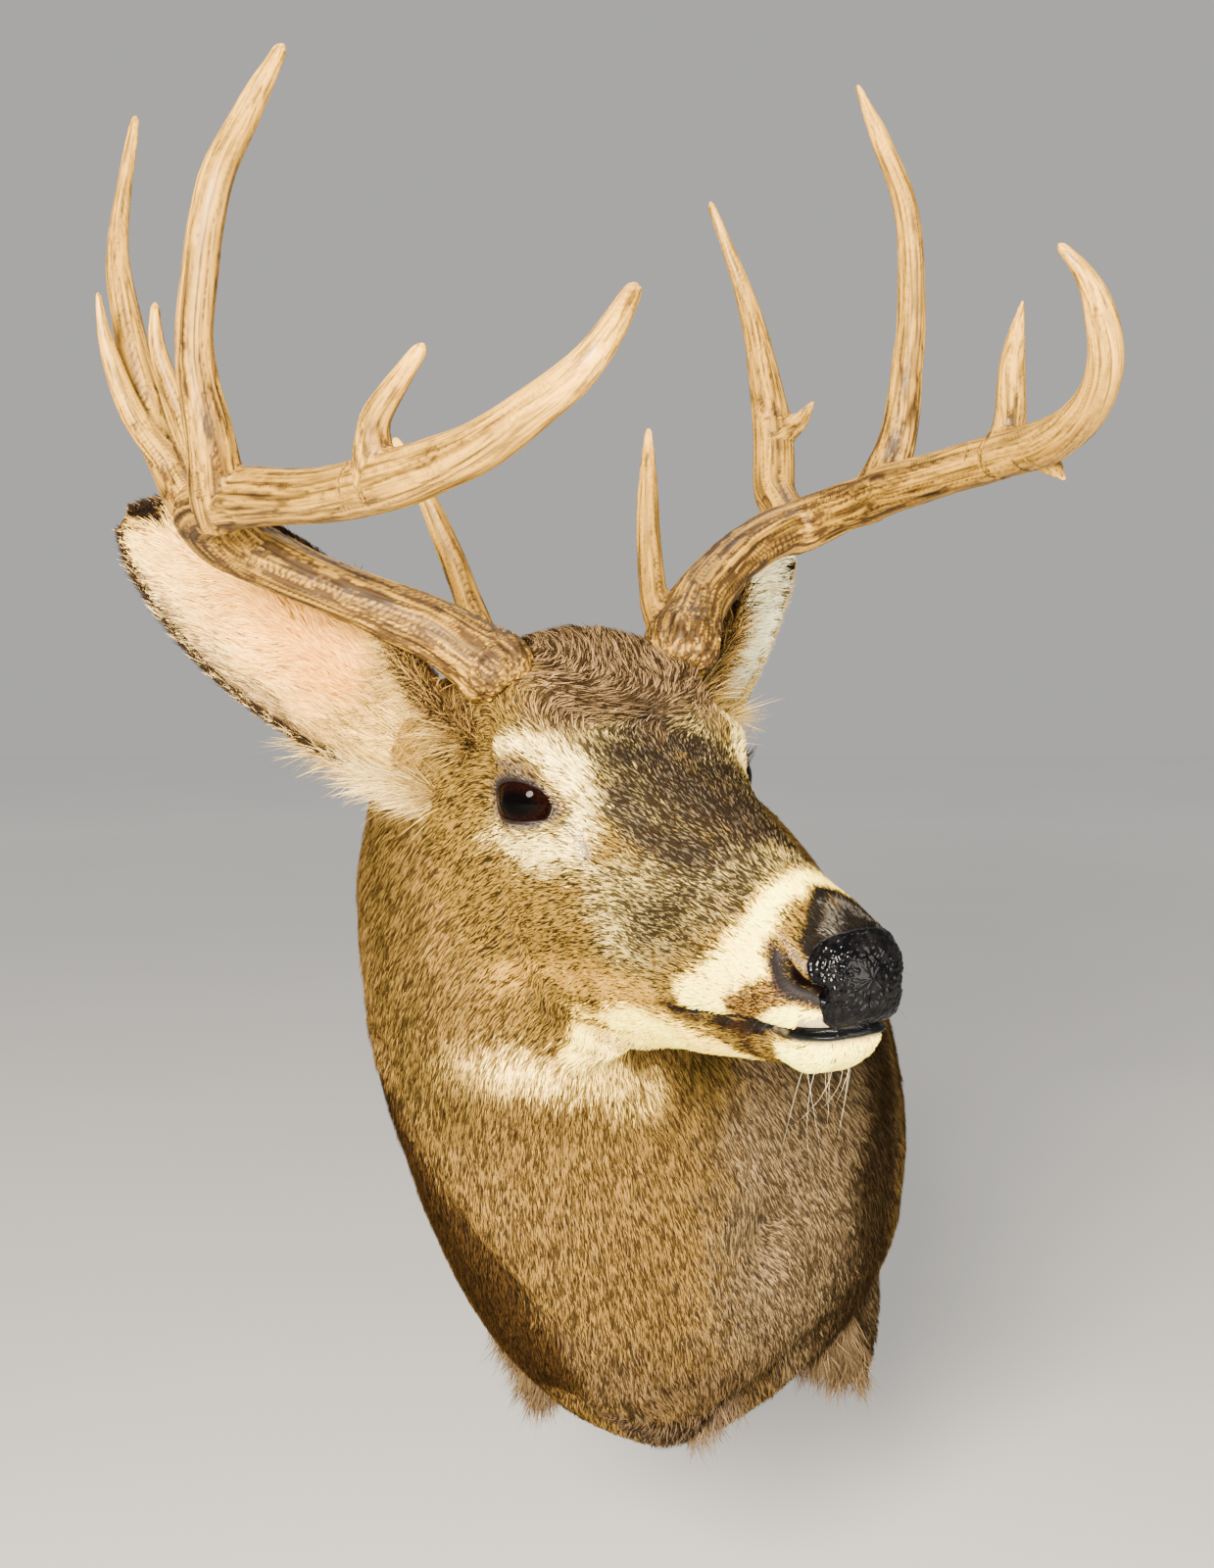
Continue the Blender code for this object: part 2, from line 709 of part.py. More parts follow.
def nostril_cutters():
    made = []
    for mirror in (1, -1):
        rows = [(*point, radius) for point, radius in zip(NOSTRIL, NOSTRIL_RADII)]
        made.append(horn("nostril", rows, mirror))
    return made


def head_stations():
    """Where the rings of the head lie: close together at the nose and lips, wider behind."""
    return np.concatenate([np.linspace(0, 5, 14), np.linspace(5.4, NECK_FROM, 26)])


def make_flesh():
    """Head, nose, lower jaw, neck and shoulders."""
    head = skin_tube("head", head_stations())
    lids, sockets, openings = make_eyes()
    jaw = copy_of(head, "lower_jaw")
    nose = copy_of(head, "nose")
    cut_or_join(nose, [slab("cut", NOSE_OUTLINE, CUT_REACH)], "INTERSECT")
    cut_or_join(nose, nostril_cutters(), "DIFFERENCE")
    cut_or_join(jaw, [slab("cut", JAW_OUTLINE, CUT_REACH)], "INTERSECT")
    cut_or_join(head, lids, "UNION")
    cut_or_join(head, openings, "DIFFERENCE")
    cut_or_join(head, sockets, "DIFFERENCE")
    gap = GAP / MM
    cut_or_join(head, [slab("cut", grown(NOSE_OUTLINE, gap), CUT_REACH)], "DIFFERENCE")
    cut_or_join(head, [slab("cut", grown(JAW_OUTLINE, gap), CUT_REACH)], "DIFFERENCE")
    cut_or_join(head, nostril_cutters(), "DIFFERENCE")
    skin_tube("neck", np.linspace(NECK_FROM + STATION_GAP, NECK_TO, 11))
    shoulders = skin_tube("shoulders", np.linspace(NECK_TO + STATION_GAP, LAST, 12))
    cut_or_join(shoulders, leg_stubs(), "UNION")
    recess = board_solid("recess", BOARD_THICKNESS + BOARD_SLACK, GAP, CUT_BACK)
    cut_or_join(shoulders, [recess], "DIFFERENCE")


def leg_stubs():
    made = []
    for x, out, z, wide, deep, high in LEG_STUBS:
        rings = []
        turn = np.arange(20) * 2 * np.pi / 20
        for polar in np.radians(np.linspace(4, 176, 14)):
            ring = np.stack(
                [
                    x + wide * math.sin(polar) * np.cos(turn),
                    np.minimum(-out + deep * math.sin(polar) * np.sin(turn), 0.0),
                    z + high * math.cos(polar) + 0 * turn,
                ],
                1,
            )
            rings.append(ring)
        made.append(tube("stub", rings))
    return made


def board_solid(name, thickness, larger, back):
    """The board's shape: the form's outline at the wall, drawn in, from back to thickness out of it."""
    sides = 40
    ring = plain_skin(np.full(sides, float(LAST)), even_around(LAST, sides))
    middle = ring.mean(axis=0)
    rings = []
    for out in (back, thickness):
        inward = ring - middle
        length = np.linalg.norm(inward, axis=1)[:, None]
        edge = middle + inward * (length - BOARD_INSET + larger) / length
        edge[:, 1] = -out
        rings.append(edge)
    return tube(name, rings)


def make_antler(side, mirror, parts, kickers, envelope):
    """The beam of one antler in two pieces and its tines, each cut clear of the beam by a thin gap."""
    thicker = 1.04 * GAP / MM
    lower = horn(f"antler_{side}_beam_lower", parts["beam"], mirror, span=(0, BEAM_SPLIT))
    cut_or_join(lower, [copy_of(envelope, "envelope")], "DIFFERENCE")
    upper = horn(f"antler_{side}_beam_upper", parts["beam"], mirror, span=(BEAM_SPLIT, None))
    if "beam" in kickers:
        cut_or_join(upper, [horn("kicker", kickers["beam"], mirror)], "UNION")
    for piece in ("brow_tine", "second_tine", "third_tine", "fourth_tine"):
        tine = horn(f"antler_{side}_{piece}", parts[piece], mirror)
        if piece in kickers:
            cut_or_join(tine, [horn("kicker", kickers[piece], mirror, KICKER_SIDES)], "UNION")
        beam = horn("beam", parts["beam"], mirror, thicker=thicker)
        cut_or_join(tine, [beam], "DIFFERENCE")
        if piece == "brow_tine":
            cut_or_join(tine, [copy_of(envelope, "envelope")], "DIFFERENCE")


def shade_round(obj, degrees=40):
    obj.data.shade_smooth()
    edges = bmesh.new()
    edges.from_mesh(obj.data)
    for edge in edges.edges:
        edge.smooth = edge.calc_face_angle(0) < math.radians(degrees)
    edges.to_mesh(obj.data)
    edges.free()


def plant(obj, parent):
    """Moves the object's origin to the middle of its box and hangs it from the parent."""
    corners = np.array(obj.bound_box)
    middle = (corners.min(axis=0) + corners.max(axis=0)) / 2
    obj.data.transform(Matrix.Translation(-Vector(middle)))
    obj.location = middle
    obj.parent = parent


def paint(obj, colour, roughness):
    material = bpy.data.materials.new(obj.name)
    material.use_nodes = True
    shader = material.node_tree.nodes["Principled BSDF"]
    shader.inputs["Base Color"].default_value = (*colour, 1.0)
    shader.inputs["Roughness"].default_value = roughness
    shader.inputs["Metallic"].default_value = 0.0
    obj.data.materials.clear()
    obj.data.materials.append(material)


COLOURS = {
    "head": ((0.33, 0.24, 0.14), 0.85),
    "neck": ((0.36, 0.25, 0.14), 0.85),
    "shoulders": ((0.28, 0.20, 0.12), 0.88),
    "lower_jaw": ((0.62, 0.52, 0.36), 0.85),
    "nose": ((0.012, 0.012, 0.014), 0.25),
    "eye": ((0.035, 0.012, 0.008), 0.06),
    "ear": ((0.62, 0.48, 0.36), 0.85),
    "antler": ((0.60, 0.48, 0.30), 0.55),
    "back": ((0.52, 0.36, 0.19), 0.7),
}


def main():
    for obj in list(bpy.data.objects):
        bpy.data.objects.remove(obj)
    make_flesh()
    behind = np.linspace(NECK_FROM + 0.4, LAST, 14)
    envelope = skin_tube("envelope", np.concatenate([head_stations(), behind]), GAP)
    for side, mirror, rows in (("right", -1, EAR_RIGHT), ("left", 1, EAR_LEFT)):
        ear = make_ear("ear_" + side, rows, mirror)
        cut_or_join(ear, [copy_of(envelope, "cut")], "DIFFERENCE")
    make_antler("right", -1, RIGHT_ANTLER, RIGHT_KICKERS, envelope)
    make_antler("left", 1, LEFT_ANTLER, LEFT_KICKERS, envelope)
    bpy.data.objects.remove(envelope)
    board_solid("back_board", BOARD_THICKNESS, 0.0, 0.0)
    pieces = list(bpy.data.objects)
    wall_point = bpy.data.objects.new("wall_point", None)
    bpy.context.scene.collection.objects.link(wall_point)
    for obj in pieces:
        kind = obj.name if obj.name in COLOURS else obj.name.split("_")[0]
        paint(obj, *COLOURS[kind])
        shade_round(obj)
        plant(obj, wall_point)


main()
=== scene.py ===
"""Looks of the whitetail buck shoulder mount: hide, coat, eyes, nose, ears, antlers, board and studio.

Lengths are metres in the wall's frame, +Z up and the wall at Y = 0. Those of the head are in
millimetres in the head's frame: x forward, y to the buck's left, z up, from between the eyes.
"""

import math
from functools import cache

import bmesh
import bpy
import numpy as np
from bpy.props import FloatProperty, FloatVectorProperty, PointerProperty
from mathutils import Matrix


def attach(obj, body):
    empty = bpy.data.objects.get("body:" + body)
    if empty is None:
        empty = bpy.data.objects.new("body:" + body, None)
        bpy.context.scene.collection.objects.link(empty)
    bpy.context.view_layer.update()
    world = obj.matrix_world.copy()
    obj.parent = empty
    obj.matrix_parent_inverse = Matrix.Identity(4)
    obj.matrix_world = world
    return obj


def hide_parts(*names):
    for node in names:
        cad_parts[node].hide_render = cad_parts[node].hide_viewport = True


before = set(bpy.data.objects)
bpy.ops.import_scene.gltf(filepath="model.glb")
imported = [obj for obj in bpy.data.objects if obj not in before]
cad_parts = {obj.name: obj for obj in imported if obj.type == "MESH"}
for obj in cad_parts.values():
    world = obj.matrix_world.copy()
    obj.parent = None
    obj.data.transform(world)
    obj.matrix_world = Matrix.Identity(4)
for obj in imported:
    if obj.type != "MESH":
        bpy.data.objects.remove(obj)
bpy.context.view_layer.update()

bl_info = {
    "name": "Whitetail buck shoulder mount",
    "version": (1, 0, 0),
    "blender": (4, 5, 0),
    "location": "3D View > Sidebar > Buck",
    "description": "Builds the hide, coat, eyes, ears, antlers, board and studio of the mount",
    "category": "Add Mesh",
}

MM = 0.001
HEAD_AT = (-0.0285, -0.375, 0.2075)
HEAD_TURN, HEAD_NOD, HEAD_TILT = math.radians(30.2), math.radians(1.5), math.radians(2.3)

# Sections of the head, in mm: x, top, bottom, half width, height of the widest line,
# roundness above and below it (2 is an ellipse, more is boxy, less is keeled)
HEAD_SECTIONS = (
    (198, -56, -66, 6, -61, 2, 2), (196.5, -48, -75, 14, -61, 2.1, 2.2),
    (192, -42, -86, 20.5, -63, 2.2, 2.3), (186, -38, -98, 24, -65, 2.2, 2.3),
    (176, -34, -106, 27, -67, 2.2, 2.2), (162, -28, -111, 29, -69, 2.2, 2.1),
    (140, -20, -113, 31.5, -68, 2.1, 2), (110, -8, -117, 35.5, -62, 2.1, 2),
    (80, 5, -121, 41, -52, 2.15, 2), (50, 18, -125, 47.5, -38, 2.3, 1.9),
    (25, 29, -130, 55, -22, 2.5, 1.9), (0, 41, -135, 62, -8, 2.6, 1.8),
    (-28, 56, -138, 65, 0, 2.5, 1.8),
)

# Sections of the neck and body, from the poll to the wall, in metres: distance from the wall and
# height of the top, the same of the bottom, sideways shift, turn in degrees, tilt in degrees,
# half width, share of the height where it is widest, roundness above and below
BODY_SECTIONS = (
    (0.334, 0.283, 0.35, 0.062, -0.05, 30, 2.2, 0.067, 0.6, 2.4, 1.85),
    (0.306, 0.279, 0.351, 0.056, -0.065, 29.5, 2, 0.073, 0.58, 2.3, 1.9),
    (0.28, 0.27, 0.346, 0.046, -0.08, 27.5, 1.5, 0.082, 0.54, 2.2, 2),
    (0.255, 0.262, 0.34, 0.02, -0.088, 24, 1, 0.09, 0.51, 2.1, 2),
    (0.23, 0.25, 0.33, -0.018, -0.085, 19, 0.5, 0.099, 0.48, 2, 2),
    (0.2, 0.236, 0.311, -0.07, -0.07, 13, 0, 0.11, 0.46, 1.9, 1.9),
    (0.17, 0.222, 0.282, -0.128, -0.048, 8, 0, 0.122, 0.45, 1.85, 1.8),
    (0.135, 0.211, 0.236, -0.186, -0.026, 4, 0, 0.137, 0.43, 1.8, 1.65),
    (0.09, 0.202, 0.16, -0.226, -0.01, 1, 0, 0.15, 0.41, 1.75, 1.75),
    (0.045, 0.195, 0.08, -0.212, -0.003, 0, 0, 0.157, 0.39, 1.7, 2.4),
    (0, 0.188, 0, -0.196, 0, 0, 0, 0.157, 0.38, 1.7, 2.8),
)

# Rounded rises and hollows of the head, on both sides, in mm: a path, its reach and height
HEAD_FORMS = (
    (((2, 62, 2), (-16, 65, 4)), 16, 4),
    (((8, 52, 22), (-22, 62, 26)), 11, 8.5),
    (((34, 48, -22), (-40, 58, -16)), 13, 3.5),
    (((-42, 62, 14), (-48, 60, 16)), 14, -5),
    (((26, 52, -8), (46, 43, -27)), 6, -3.5),
    (((-12, 50, -58), (-34, 50, -66)), 24, 4.5),
    (((84, 36, -44), (52, 42, -52)), 15, -3),
    (((128, 30, -40), (140, 30, -42)), 14, -1.5),
    (((170, 28, -70), (158, 29, -74)), 9, 3),
    (((174, 16, -104), (162, 15, -108)), 14, 2.5),
    (((20, 12, 34), (50, 10, 20)), 14, -2.5),
    (((-46, 14, 64), (-60, 10, 64)), 24, 3),
    (((-32, 42, 44), (-48, 50, 52)), 16, 12),
    (((-84, 66, 14), (-94, 66, 16)), 22, 9),
)

# The line of the mouth from its corner to the front, as x and z in mm, and the groove along it
MOUTH_LINE = ((86, -94), (116, -91), (146, -88), (172, -87), (206, -83))
MOUTH_GROOVE = (4, -2)
LIP_STEP = 3
LIP_DEPTH = 22
MOUTH_CORNER_FADE = 14

# Eyes, in mm in the head's frame: middle, the way the eye looks, and the opening of the lids
EYE_MIDDLE = (-8.5, 52.5, -1.5)
EYE_AXIS = (0.46, 0.88, 0.07)
EYE_RADIUS = 19
LID_PULL = 0.16  # share of the opening over which the hide is drawn to its rim
LID_BLEND = 3
BEHIND_GLASS = 3.5

# Ears, one row per station from root to tip in mm: x, y, z, half width, opening half angle in
# degrees and thickness; y is outward
EAR_RIGHT = (
    (-78, 48, 4, 18, 120, 7), (-94, 64, 18, 26, 118, 6.5), (-116, 83, 38, 36, 104, 5.5),
    (-137, 107, 64, 42, 84, 4.5), (-152, 134, 89, 43, 66, 4), (-165, 162, 112, 35, 52, 3.5),
    (-175, 185, 129, 22, 42, 3.2), (-181, 199, 138, 7, 36, 3),
)
EAR_LEFT = (
    (-76, 48, 10, 15, 120, 7), (-88, 70, 24, 19, 118, 6.5), (-104, 97, 40, 26, 104, 5.5),
    (-122, 127, 56, 33, 84, 4.5), (-140, 157, 71, 36, 66, 4), (-156, 186, 86, 31, 52, 3.5),
    (-168, 208, 97, 20, 42, 3.2), (-174, 219, 102, 7, 36, 3),
)
EAR_OPENS = (0.9, 0.3, -0.25)  # the way the cup of an ear faces

# Antlers, in mm: x, y outward, z and radius along each beam and tine, root first
RIGHT_ANTLER = {
    "beam": (
        (-38, 50, 50, 15), (-41, 53, 56, 19.5), (-45, 57, 61, 21), (-51, 65, 68, 18),
        (-64, 82, 82, 16.5), (-85, 119, 100, 14.5), (-99, 152, 117, 15), (-102, 170, 128, 17),
        (-96, 183, 138, 17), (-84, 190, 144, 15.5), (-60, 190, 148, 15), (-33, 184, 150, 14),
        (24, 176, 151, 13), (86, 169, 158, 13), (136, 156, 170, 11.2), (170, 145, 186, 9.4),
        (190, 136, 199, 8), (197, 126, 213, 6.2), (193, 112, 230, 4.2),
    ),
    "brow_tine": (
        (-57, 56, 66, 12), (-63, 55, 78, 9.5), (-72, 56, 94, 7.5), (-85, 61, 124, 6.5),
        (-96, 68, 151, 5), (-107, 76, 174, 3),
    ),
    "second_tine": (
        (-104, 172, 130, 13), (-126, 181, 145, 12), (-142, 184, 160, 11), (-157, 191, 196, 10),
        (-175, 195, 247, 7.5), (-187, 192, 283, 5.5), (-193, 178, 341, 2.6),
    ),
    "third_tine": (
        (-66, 188, 140, 14), (-54, 196, 156, 13.5), (-46, 200, 176, 12), (-45, 206, 213, 9.5),
        (-39, 205, 249, 9), (-33, 197, 293, 8.5), (-34, 181, 322, 7), (-31, 164, 352, 4),
    ),
    "fourth_tine": (
        (74, 171, 158, 11), (78, 174, 172, 9), (82, 174, 184, 7), (90, 169, 196, 5.8),
        (102, 162, 211, 4),
    ),
    "kicker_of_second_tine": (
        (-142, 186, 165, 8), (-145, 203, 190, 7), (-147, 214, 224, 4.5), (-148, 217, 249, 2.2),
    ),
    "kicker_of_third_tine": (
        (-56, 200, 164, 8), (-64, 207, 190, 6), (-72, 214, 218, 4.5), (-74, 214, 239, 2.6),
    ),
}
LEFT_ANTLER = {
    "beam": (
        (-38, 50, 53, 15), (-41, 53, 60, 19.5), (-45, 57, 66, 21), (-51, 65, 73, 18),
        (-64, 82, 88, 16), (-86, 120, 107, 14.5), (-100, 154, 118, 14.5), (-103, 172, 121, 15.5),
        (-96, 182, 126, 15), (-82, 186, 131, 14), (-60, 187, 136, 13.8), (-33, 184, 143, 13.5),
        (24, 176, 152, 12.5), (86, 169, 162, 12.2), (136, 157, 170, 11), (172, 146, 185, 9.3),
        (192, 136, 204, 8.8), (199, 126, 224, 7.2), (199, 117, 240, 5), (193, 109, 252, 3),
    ),
    "brow_tine": (
        (-57, 56, 66, 12), (-62, 55, 76, 9.5), (-70, 55, 88, 8), (-84, 61, 115, 7),
        (-95, 68, 146, 6), (-108, 77, 177, 2.4),
    ),
    "second_tine": (
        (-104, 172, 116, 13), (-124, 178, 129, 12.5), (-142, 183, 142, 12.5), (-154, 191, 174, 12),
        (-175, 195, 228, 8), (-188, 192, 264, 5.5), (-198, 178, 310, 2.4),
    ),
    "third_tine": (
        (-50, 186, 136, 14), (-46, 194, 154, 12.5), (-43, 200, 174, 10.5), (-45, 206, 205, 9),
        (-39, 205, 245, 8), (-33, 197, 292, 7), (-33, 181, 326, 5.5), (-31, 164, 354, 2.4),
    ),
    "fourth_tine": (
        (74, 171, 158, 11), (79, 174, 172, 9), (82, 174, 184, 8), (90, 168, 209, 6.5),
        (103, 163, 235, 1.6),
    ),
    "kicker_of_second_tine": (
        (-150, 190, 172, 9), (-148, 205, 181, 6), (-149, 216, 192, 2.2),
    ),
    "kicker_of_beam": (
        (112, 164, 164, 9), (115, 172, 156, 6), (117, 177, 150, 2.2),
    ),
}

# Stubs of the forelegs, in metres: x, distance from the wall, height, and the three half sizes
LEG_STUBS = (
    (-0.082, 0.032, -0.186, 0.032, 0.038, 0.07), (0.115, 0.036, -0.176, 0.029, 0.042, 0.066),
)
EAR_FOLD_BACK = 0.35
BOARD_THICKNESS, BOARD_INSET, BOARD_SLACK = 0.018, 0.008, 0.0007

# The coat's kinds of hair: red, green and blue, share of dark hairs, length in mm, how far the tips
# stand off the hide in mm, how wet the bare hide looks, and how much the hair clumps
HAIR = {
    "tan": (0.108, 0.063, 0.0108, 0.44, 7, 1.9, 0, 0.4),
    "buff": (0.24, 0.13, 0.019, 0.24, 7, 1.8, 0, 0.4),
    "scruff": (0.053, 0.032, 0.0068, 0.5, 10, 2.8, 0, 0.3),
    "agouti": (0.27, 0.195, 0.058, 0.55, 5, 1.6, 0, 0.25),
    "dusk": (0.085, 0.062, 0.024, 0.66, 5, 1.6, 0, 0.25),
    "crown": (0.14, 0.084, 0.036, 0.6, 15, 4.6, 0, 1.3),
    "core": (0.046, 0.034, 0.022, 0.74, 5.5, 1.7, 0, 0.25),
    "white": (0.66, 0.49, 0.15, 0.2, 7, 1.9, 0, 0.5),
    "cream": (0.97, 0.66, 0.1, 0.05, 6, 1.6, 0, 0.4),
    "lid": (0.075, 0.052, 0.032, 0.35, 3, 0.7, 0, 0.2),
    "tear": (0.34, 0.13, 0.055, 0, 1, 0.2, 0.3, 0),
    "nose_top": (0.004, 0.0035, 0.003, 0.35, 4.5, 1.4, 0, 0.3),
    # A painted sheen: pale grey flecks on the black hair above the nose pad
    "nose_sheen": (0.09, 0.08, 0.065, 0.6, 5, 1.6, 0, 0.3),
    "rust": (0.15, 0.075, 0.013, 0.58, 4.5, 1.2, 0, 0.4),
    "wing": (0.03, 0.017, 0.013, 0.3, 1.6, 0.35, 0.1, 0),
    "ridge": (0.3, 0.18, 0.07, 0.15, 1.4, 0.3, 0.1, 0),
    # Painted shade: the nostril's opening is near black, over its wet skin
    "slit": (0.006, 0.0014, 0.0007, 0, 0, 0, 0.8, 0),
    # The dark of the mouth line: partly the lips' dark skin, partly painted shade in the crease
    "mouth": (0.008, 0.004, 0.002, 0, 2.5, 0.6, 0, 0.2),
    "lip": (0.003, 0.003, 0.003, 0, 0, 0, 1, 0),
    "jaw": (0.97, 0.62, 0.075, 0.07, 9, 2.2, 0, 0.5),
    "throat": (0.8, 0.52, 0.115, 0.36, 10, 3.2, 0, 0.5),
    "patch": (0.022, 0.011, 0.004, 0.2, 5, 1.2, 0, 0.4),
    "neck": (0.118, 0.067, 0.0165, 0.51, 9.5, 2.5, 0, 0.12),
    "nape": (0.12, 0.058, 0.013, 0.5, 20, 6, 0, 0.6),
    "chest": (0.12, 0.08, 0.037, 0.58, 9, 2.6, 0, 0.2),
    # Painted shade on the side of the body turned from the key lamp
    "shaded_flank": (0.022, 0.0135, 0.0055, 0.52, 12, 3.2, 0, 0.2),
    "silver": (0.105, 0.069, 0.034, 0.5, 12, 3.6, 0, 0.4),
    # Dark shoulder hair with painted shade under the roll of the neck
    "shoulder": (0.025, 0.0125, 0.0035, 0.5, 9, 2.6, 0, 0.2),
    "belly": (0.064, 0.039, 0.0165, 0.5, 13, 3.8, 0, 0.4),
    "brisket": (0.098, 0.064, 0.036, 0.55, 22, 6, 0, 1),
    "stub": (0.09, 0.058, 0.028, 0.5, 24, 7, 0, 1.2),
}

# The slit of a nostril, in mm in the head's frame
NOSTRIL = ((167, 27, -53), (173, 27, -58), (181, 26, -63), (191, 22, -66))

# The tear duct in front of an eye, in mm in the head's frame
TEAR = ((20, 56, 0), (28, 53, -9), (35, 51, -18), (39, 50, -26))

# Markings of the head, alike on both sides, in mm: kind of hair, a path, the reach at its first and
# last point, the width of the soft edge, and the strength
HEAD_MARKS = (
    ("crown", ((-2, 0, 44), (-62, 0, 66)), 50, 46, 16, 1),
    ("tan", ((-50, 68, -4), (-34, 58, -62), (26, 42, -80)), 36, 24, 24, 1),
    ("scruff", ((-94, 92, -6), (-88, 97, -60), (-84, 97, -130), (-72, 82, -172)), 20, 24, 30, 0.9),
    ("buff", ((66, 38, -92), (10, 44, -96), (-30, 58, -96)), 12, 12, 14, 0.9),
    ("buff", ((-112, 76, 20), (-84, 80, 22)), 18, 10, 12, 0.8),
    ("agouti", ((126, 14, -24), (84, 36, -42), (64, 42, -52)), 20, 27, 18, 1),
    ("dusk", ((122, 20, -30), (98, 31, -43), (78, 38, -54)), 16, 14, 24, 1),
    ("agouti", ((20, 20, 30), (60, 26, 6)), 20, 24, 16, 1),
    ("dusk", ((30, 24, 20), (62, 26, 0), (100, 20, -18)), 14, 17, 22, 1),
    ("core", ((12, 2, 37), (48, 10, 12), (108, 4, -8)), 17, 16, 24, 1),
    ("core", ((46, 37, 4), (74, 34, -15), (104, 22, -22)), 8, 10, 10, 0.8),
    ("white", ((-26, 67, -22), (-4, 65, -25), (22, 58, -25), (36, 52, -18)), 6, 9, 15, 0.9),
    ("white", ((34, 54, -18), (31, 50, -4), (25, 50, 10)), 8, 7, 16, 0.8),
    ("white", ((24, 51, 10), (12, 55, 21), (-2, 62, 25), (-17, 65, 23)), 7.5, 3.5, 12, 1),
    ("lid", ((-20, 67, 13), (-4, 66, 15), (8, 62, 12)), 3.4, 3, 4, 0.9),
    ("tear", TEAR, 1.7, 1.1, 1.4, 0.9),
    ("cream", ((156, 0, -24), (154, 14, -32), (148, 27, -50), (134, 33, -70), (106, 35, -90)), 9, 13, 9, 1),
    ("cream", ((146, 29, -66), (166, 27, -78), (188, 10, -88)), 15, 10, 6, 1),
    ("cream", ((100, 33, -90), (150, 27, -84)), 6, 8, 4, 0.9),
    ("nose_top", ((164, 0, -28), (176, 10, -37), (182, 20, -47)), 6.5, 6, 5, 1),
    ("nose_top", ((184, 0, -38), (188, 12, -43)), 11, 8, 4, 1),
    # Painted sheen of pale grey flecks over the black hair above the nose pad
    ("nose_sheen", ((172, 3, -33), (182, 7, -38), (186, 13, -43)), 3.2, 3, 5, 0.5),
    ("rust", ((169, 31, -70), (156, 31, -76), (138, 29, -86)), 9, 10, 7, 1),
    ("cream", ((155, 27, -87), (172, 28, -81), (188, 22, -80)), 3, 7, 3, 1),
    ("nose_top", ((180, 18, -46), (184, 21, -56), (187, 22, -66)), 4, 2.6, 3, 1),
    ("cream", ((188, 0, -99), (164, 14, -105)), 12, 13, 4, 1),
    ("jaw", ((100, 14, -116), (50, 27, -113), (-14, 40, -122)), 12, 10, 9, 1),
    ("jaw", ((104, 28, -104), (76, 33, -106), (40, 38, -108)), 5, 8, 8, 0.95),
    ("jaw", ((104, 0, -117), (50, 0, -126), (-20, 0, -138)), 18, 26, 8, 1),
    ("throat", ((0, 0, -136), (-38, 0, -150)), 22, 16, 14, 1),
    # Dark mouth line: dark lip skin with painted shade in the crease
    ("mouth", ((83, 33, -93), (97, 28, -96), (112, 26, -96), (126, 23, -97), (146, 22, -92)), 4.4, 6, 3, 1),
    ("patch", ((124, 23, -99), (130, 20, -100), (127, 12, -110)), 5, 6, 5, 1),
    ("wing", ((158, 29, -49), (164, 29, -58), (169, 29, -65), (178, 28, -67),
     (189, 22, -70)), 5.6, 4.4, 4, 1),
    ("ridge", ((163, 25, -44), (172, 25, -49), (182, 22, -56)), 2.8, 2, 2.5, 1),
    # The nostril slit, near black as painted shade in the opening
    ("slit", NOSTRIL, 2.3, 2.9, 1.4, 1),
)

# Markings of the neck and body, in mm in the wall's frame
BODY_MARKS = (
    ("nape", ((-60, -270, 330), (-20, -120, 230)), 60, 70, 40, 1),
    ("belly", ((-70, -130, -214), (10, -130, -226), (96, -90, -210)), 46, 46, 30, 0.9),
    ("belly", ((-92, -262, -142), (-60, -252, -166), (-36, -244, -180)), 12, 16, 22, 1),
    ("belly", ((24, -200, -198), (52, -180, -190), (80, -150, -190)), 14, 18, 22, 1),
    ("chest", ((140, -190, 90), (112, -212, -30), (96, -212, -90)), 126, 92, 44, 1),
    # Painted shade: these marks darken the side of the body turned from the key lamp
    ("shaded_flank", ((158, -20, 110), (160, -30, -70), (130, -20, -200)), 50, 64, 60, 0.9),
    ("chest", ((100, -200, -120), (118, -150, -150), (124, -90, -190)), 58, 50, 26, 1),
    ("silver", ((40, -255, -30), (50, -246, -76), (72, -222, -118)), 8, 14, 34, 0.35),
    ("shaded_flank", ((132, -120, 60), (130, -133, 0), (120, -156, -60), (114, -120, -152),
     (118, -71, -210)), 38, 32, 34, 1),
    ("belly", ((-70, -290, -128), (0, -250, -160), (60, -200, -165)), 20, 26, 36, 0.9),
    ("brisket", ((-34, -236, -184), (-8, -218, -196), (24, -190, -200)), 12, 18, 16, 0.95),
    # Shoulder marks: dark hair, with painted shade under the roll of the neck
    ("shoulder", ((-168, -296, 34), (-146, -292, -28), (-116, -276, -78), (-84, -236, -128)), 22, 42, 9, 1),
    ("shoulder", ((-176, -236, 10), (-140, -230, -90), (-96, -180, -170)), 26, 34, 44, 1),
    ("stub", ((-82, -80, -176), (-82, -40, -250)), 30, 40, 22, 0.9),
    ("shaded_flank", ((104, -150, -140), (114, -100, -176), (120, -60, -206)), 26, 30, 34, 0.9),
    ("stub", ((100, -90, -176), (108, -50, -240)), 16, 34, 18, 0.9),
    ("throat", ((-122, -344, 64), (-84, -354, 58), (-50, -340, 48), (-18, -302, 37)), 8, 8, 18, 0.9),
    ("white", ((-10, -214, -204), (-6, -200, -212)), 6, 6, 6, 0.9),
)

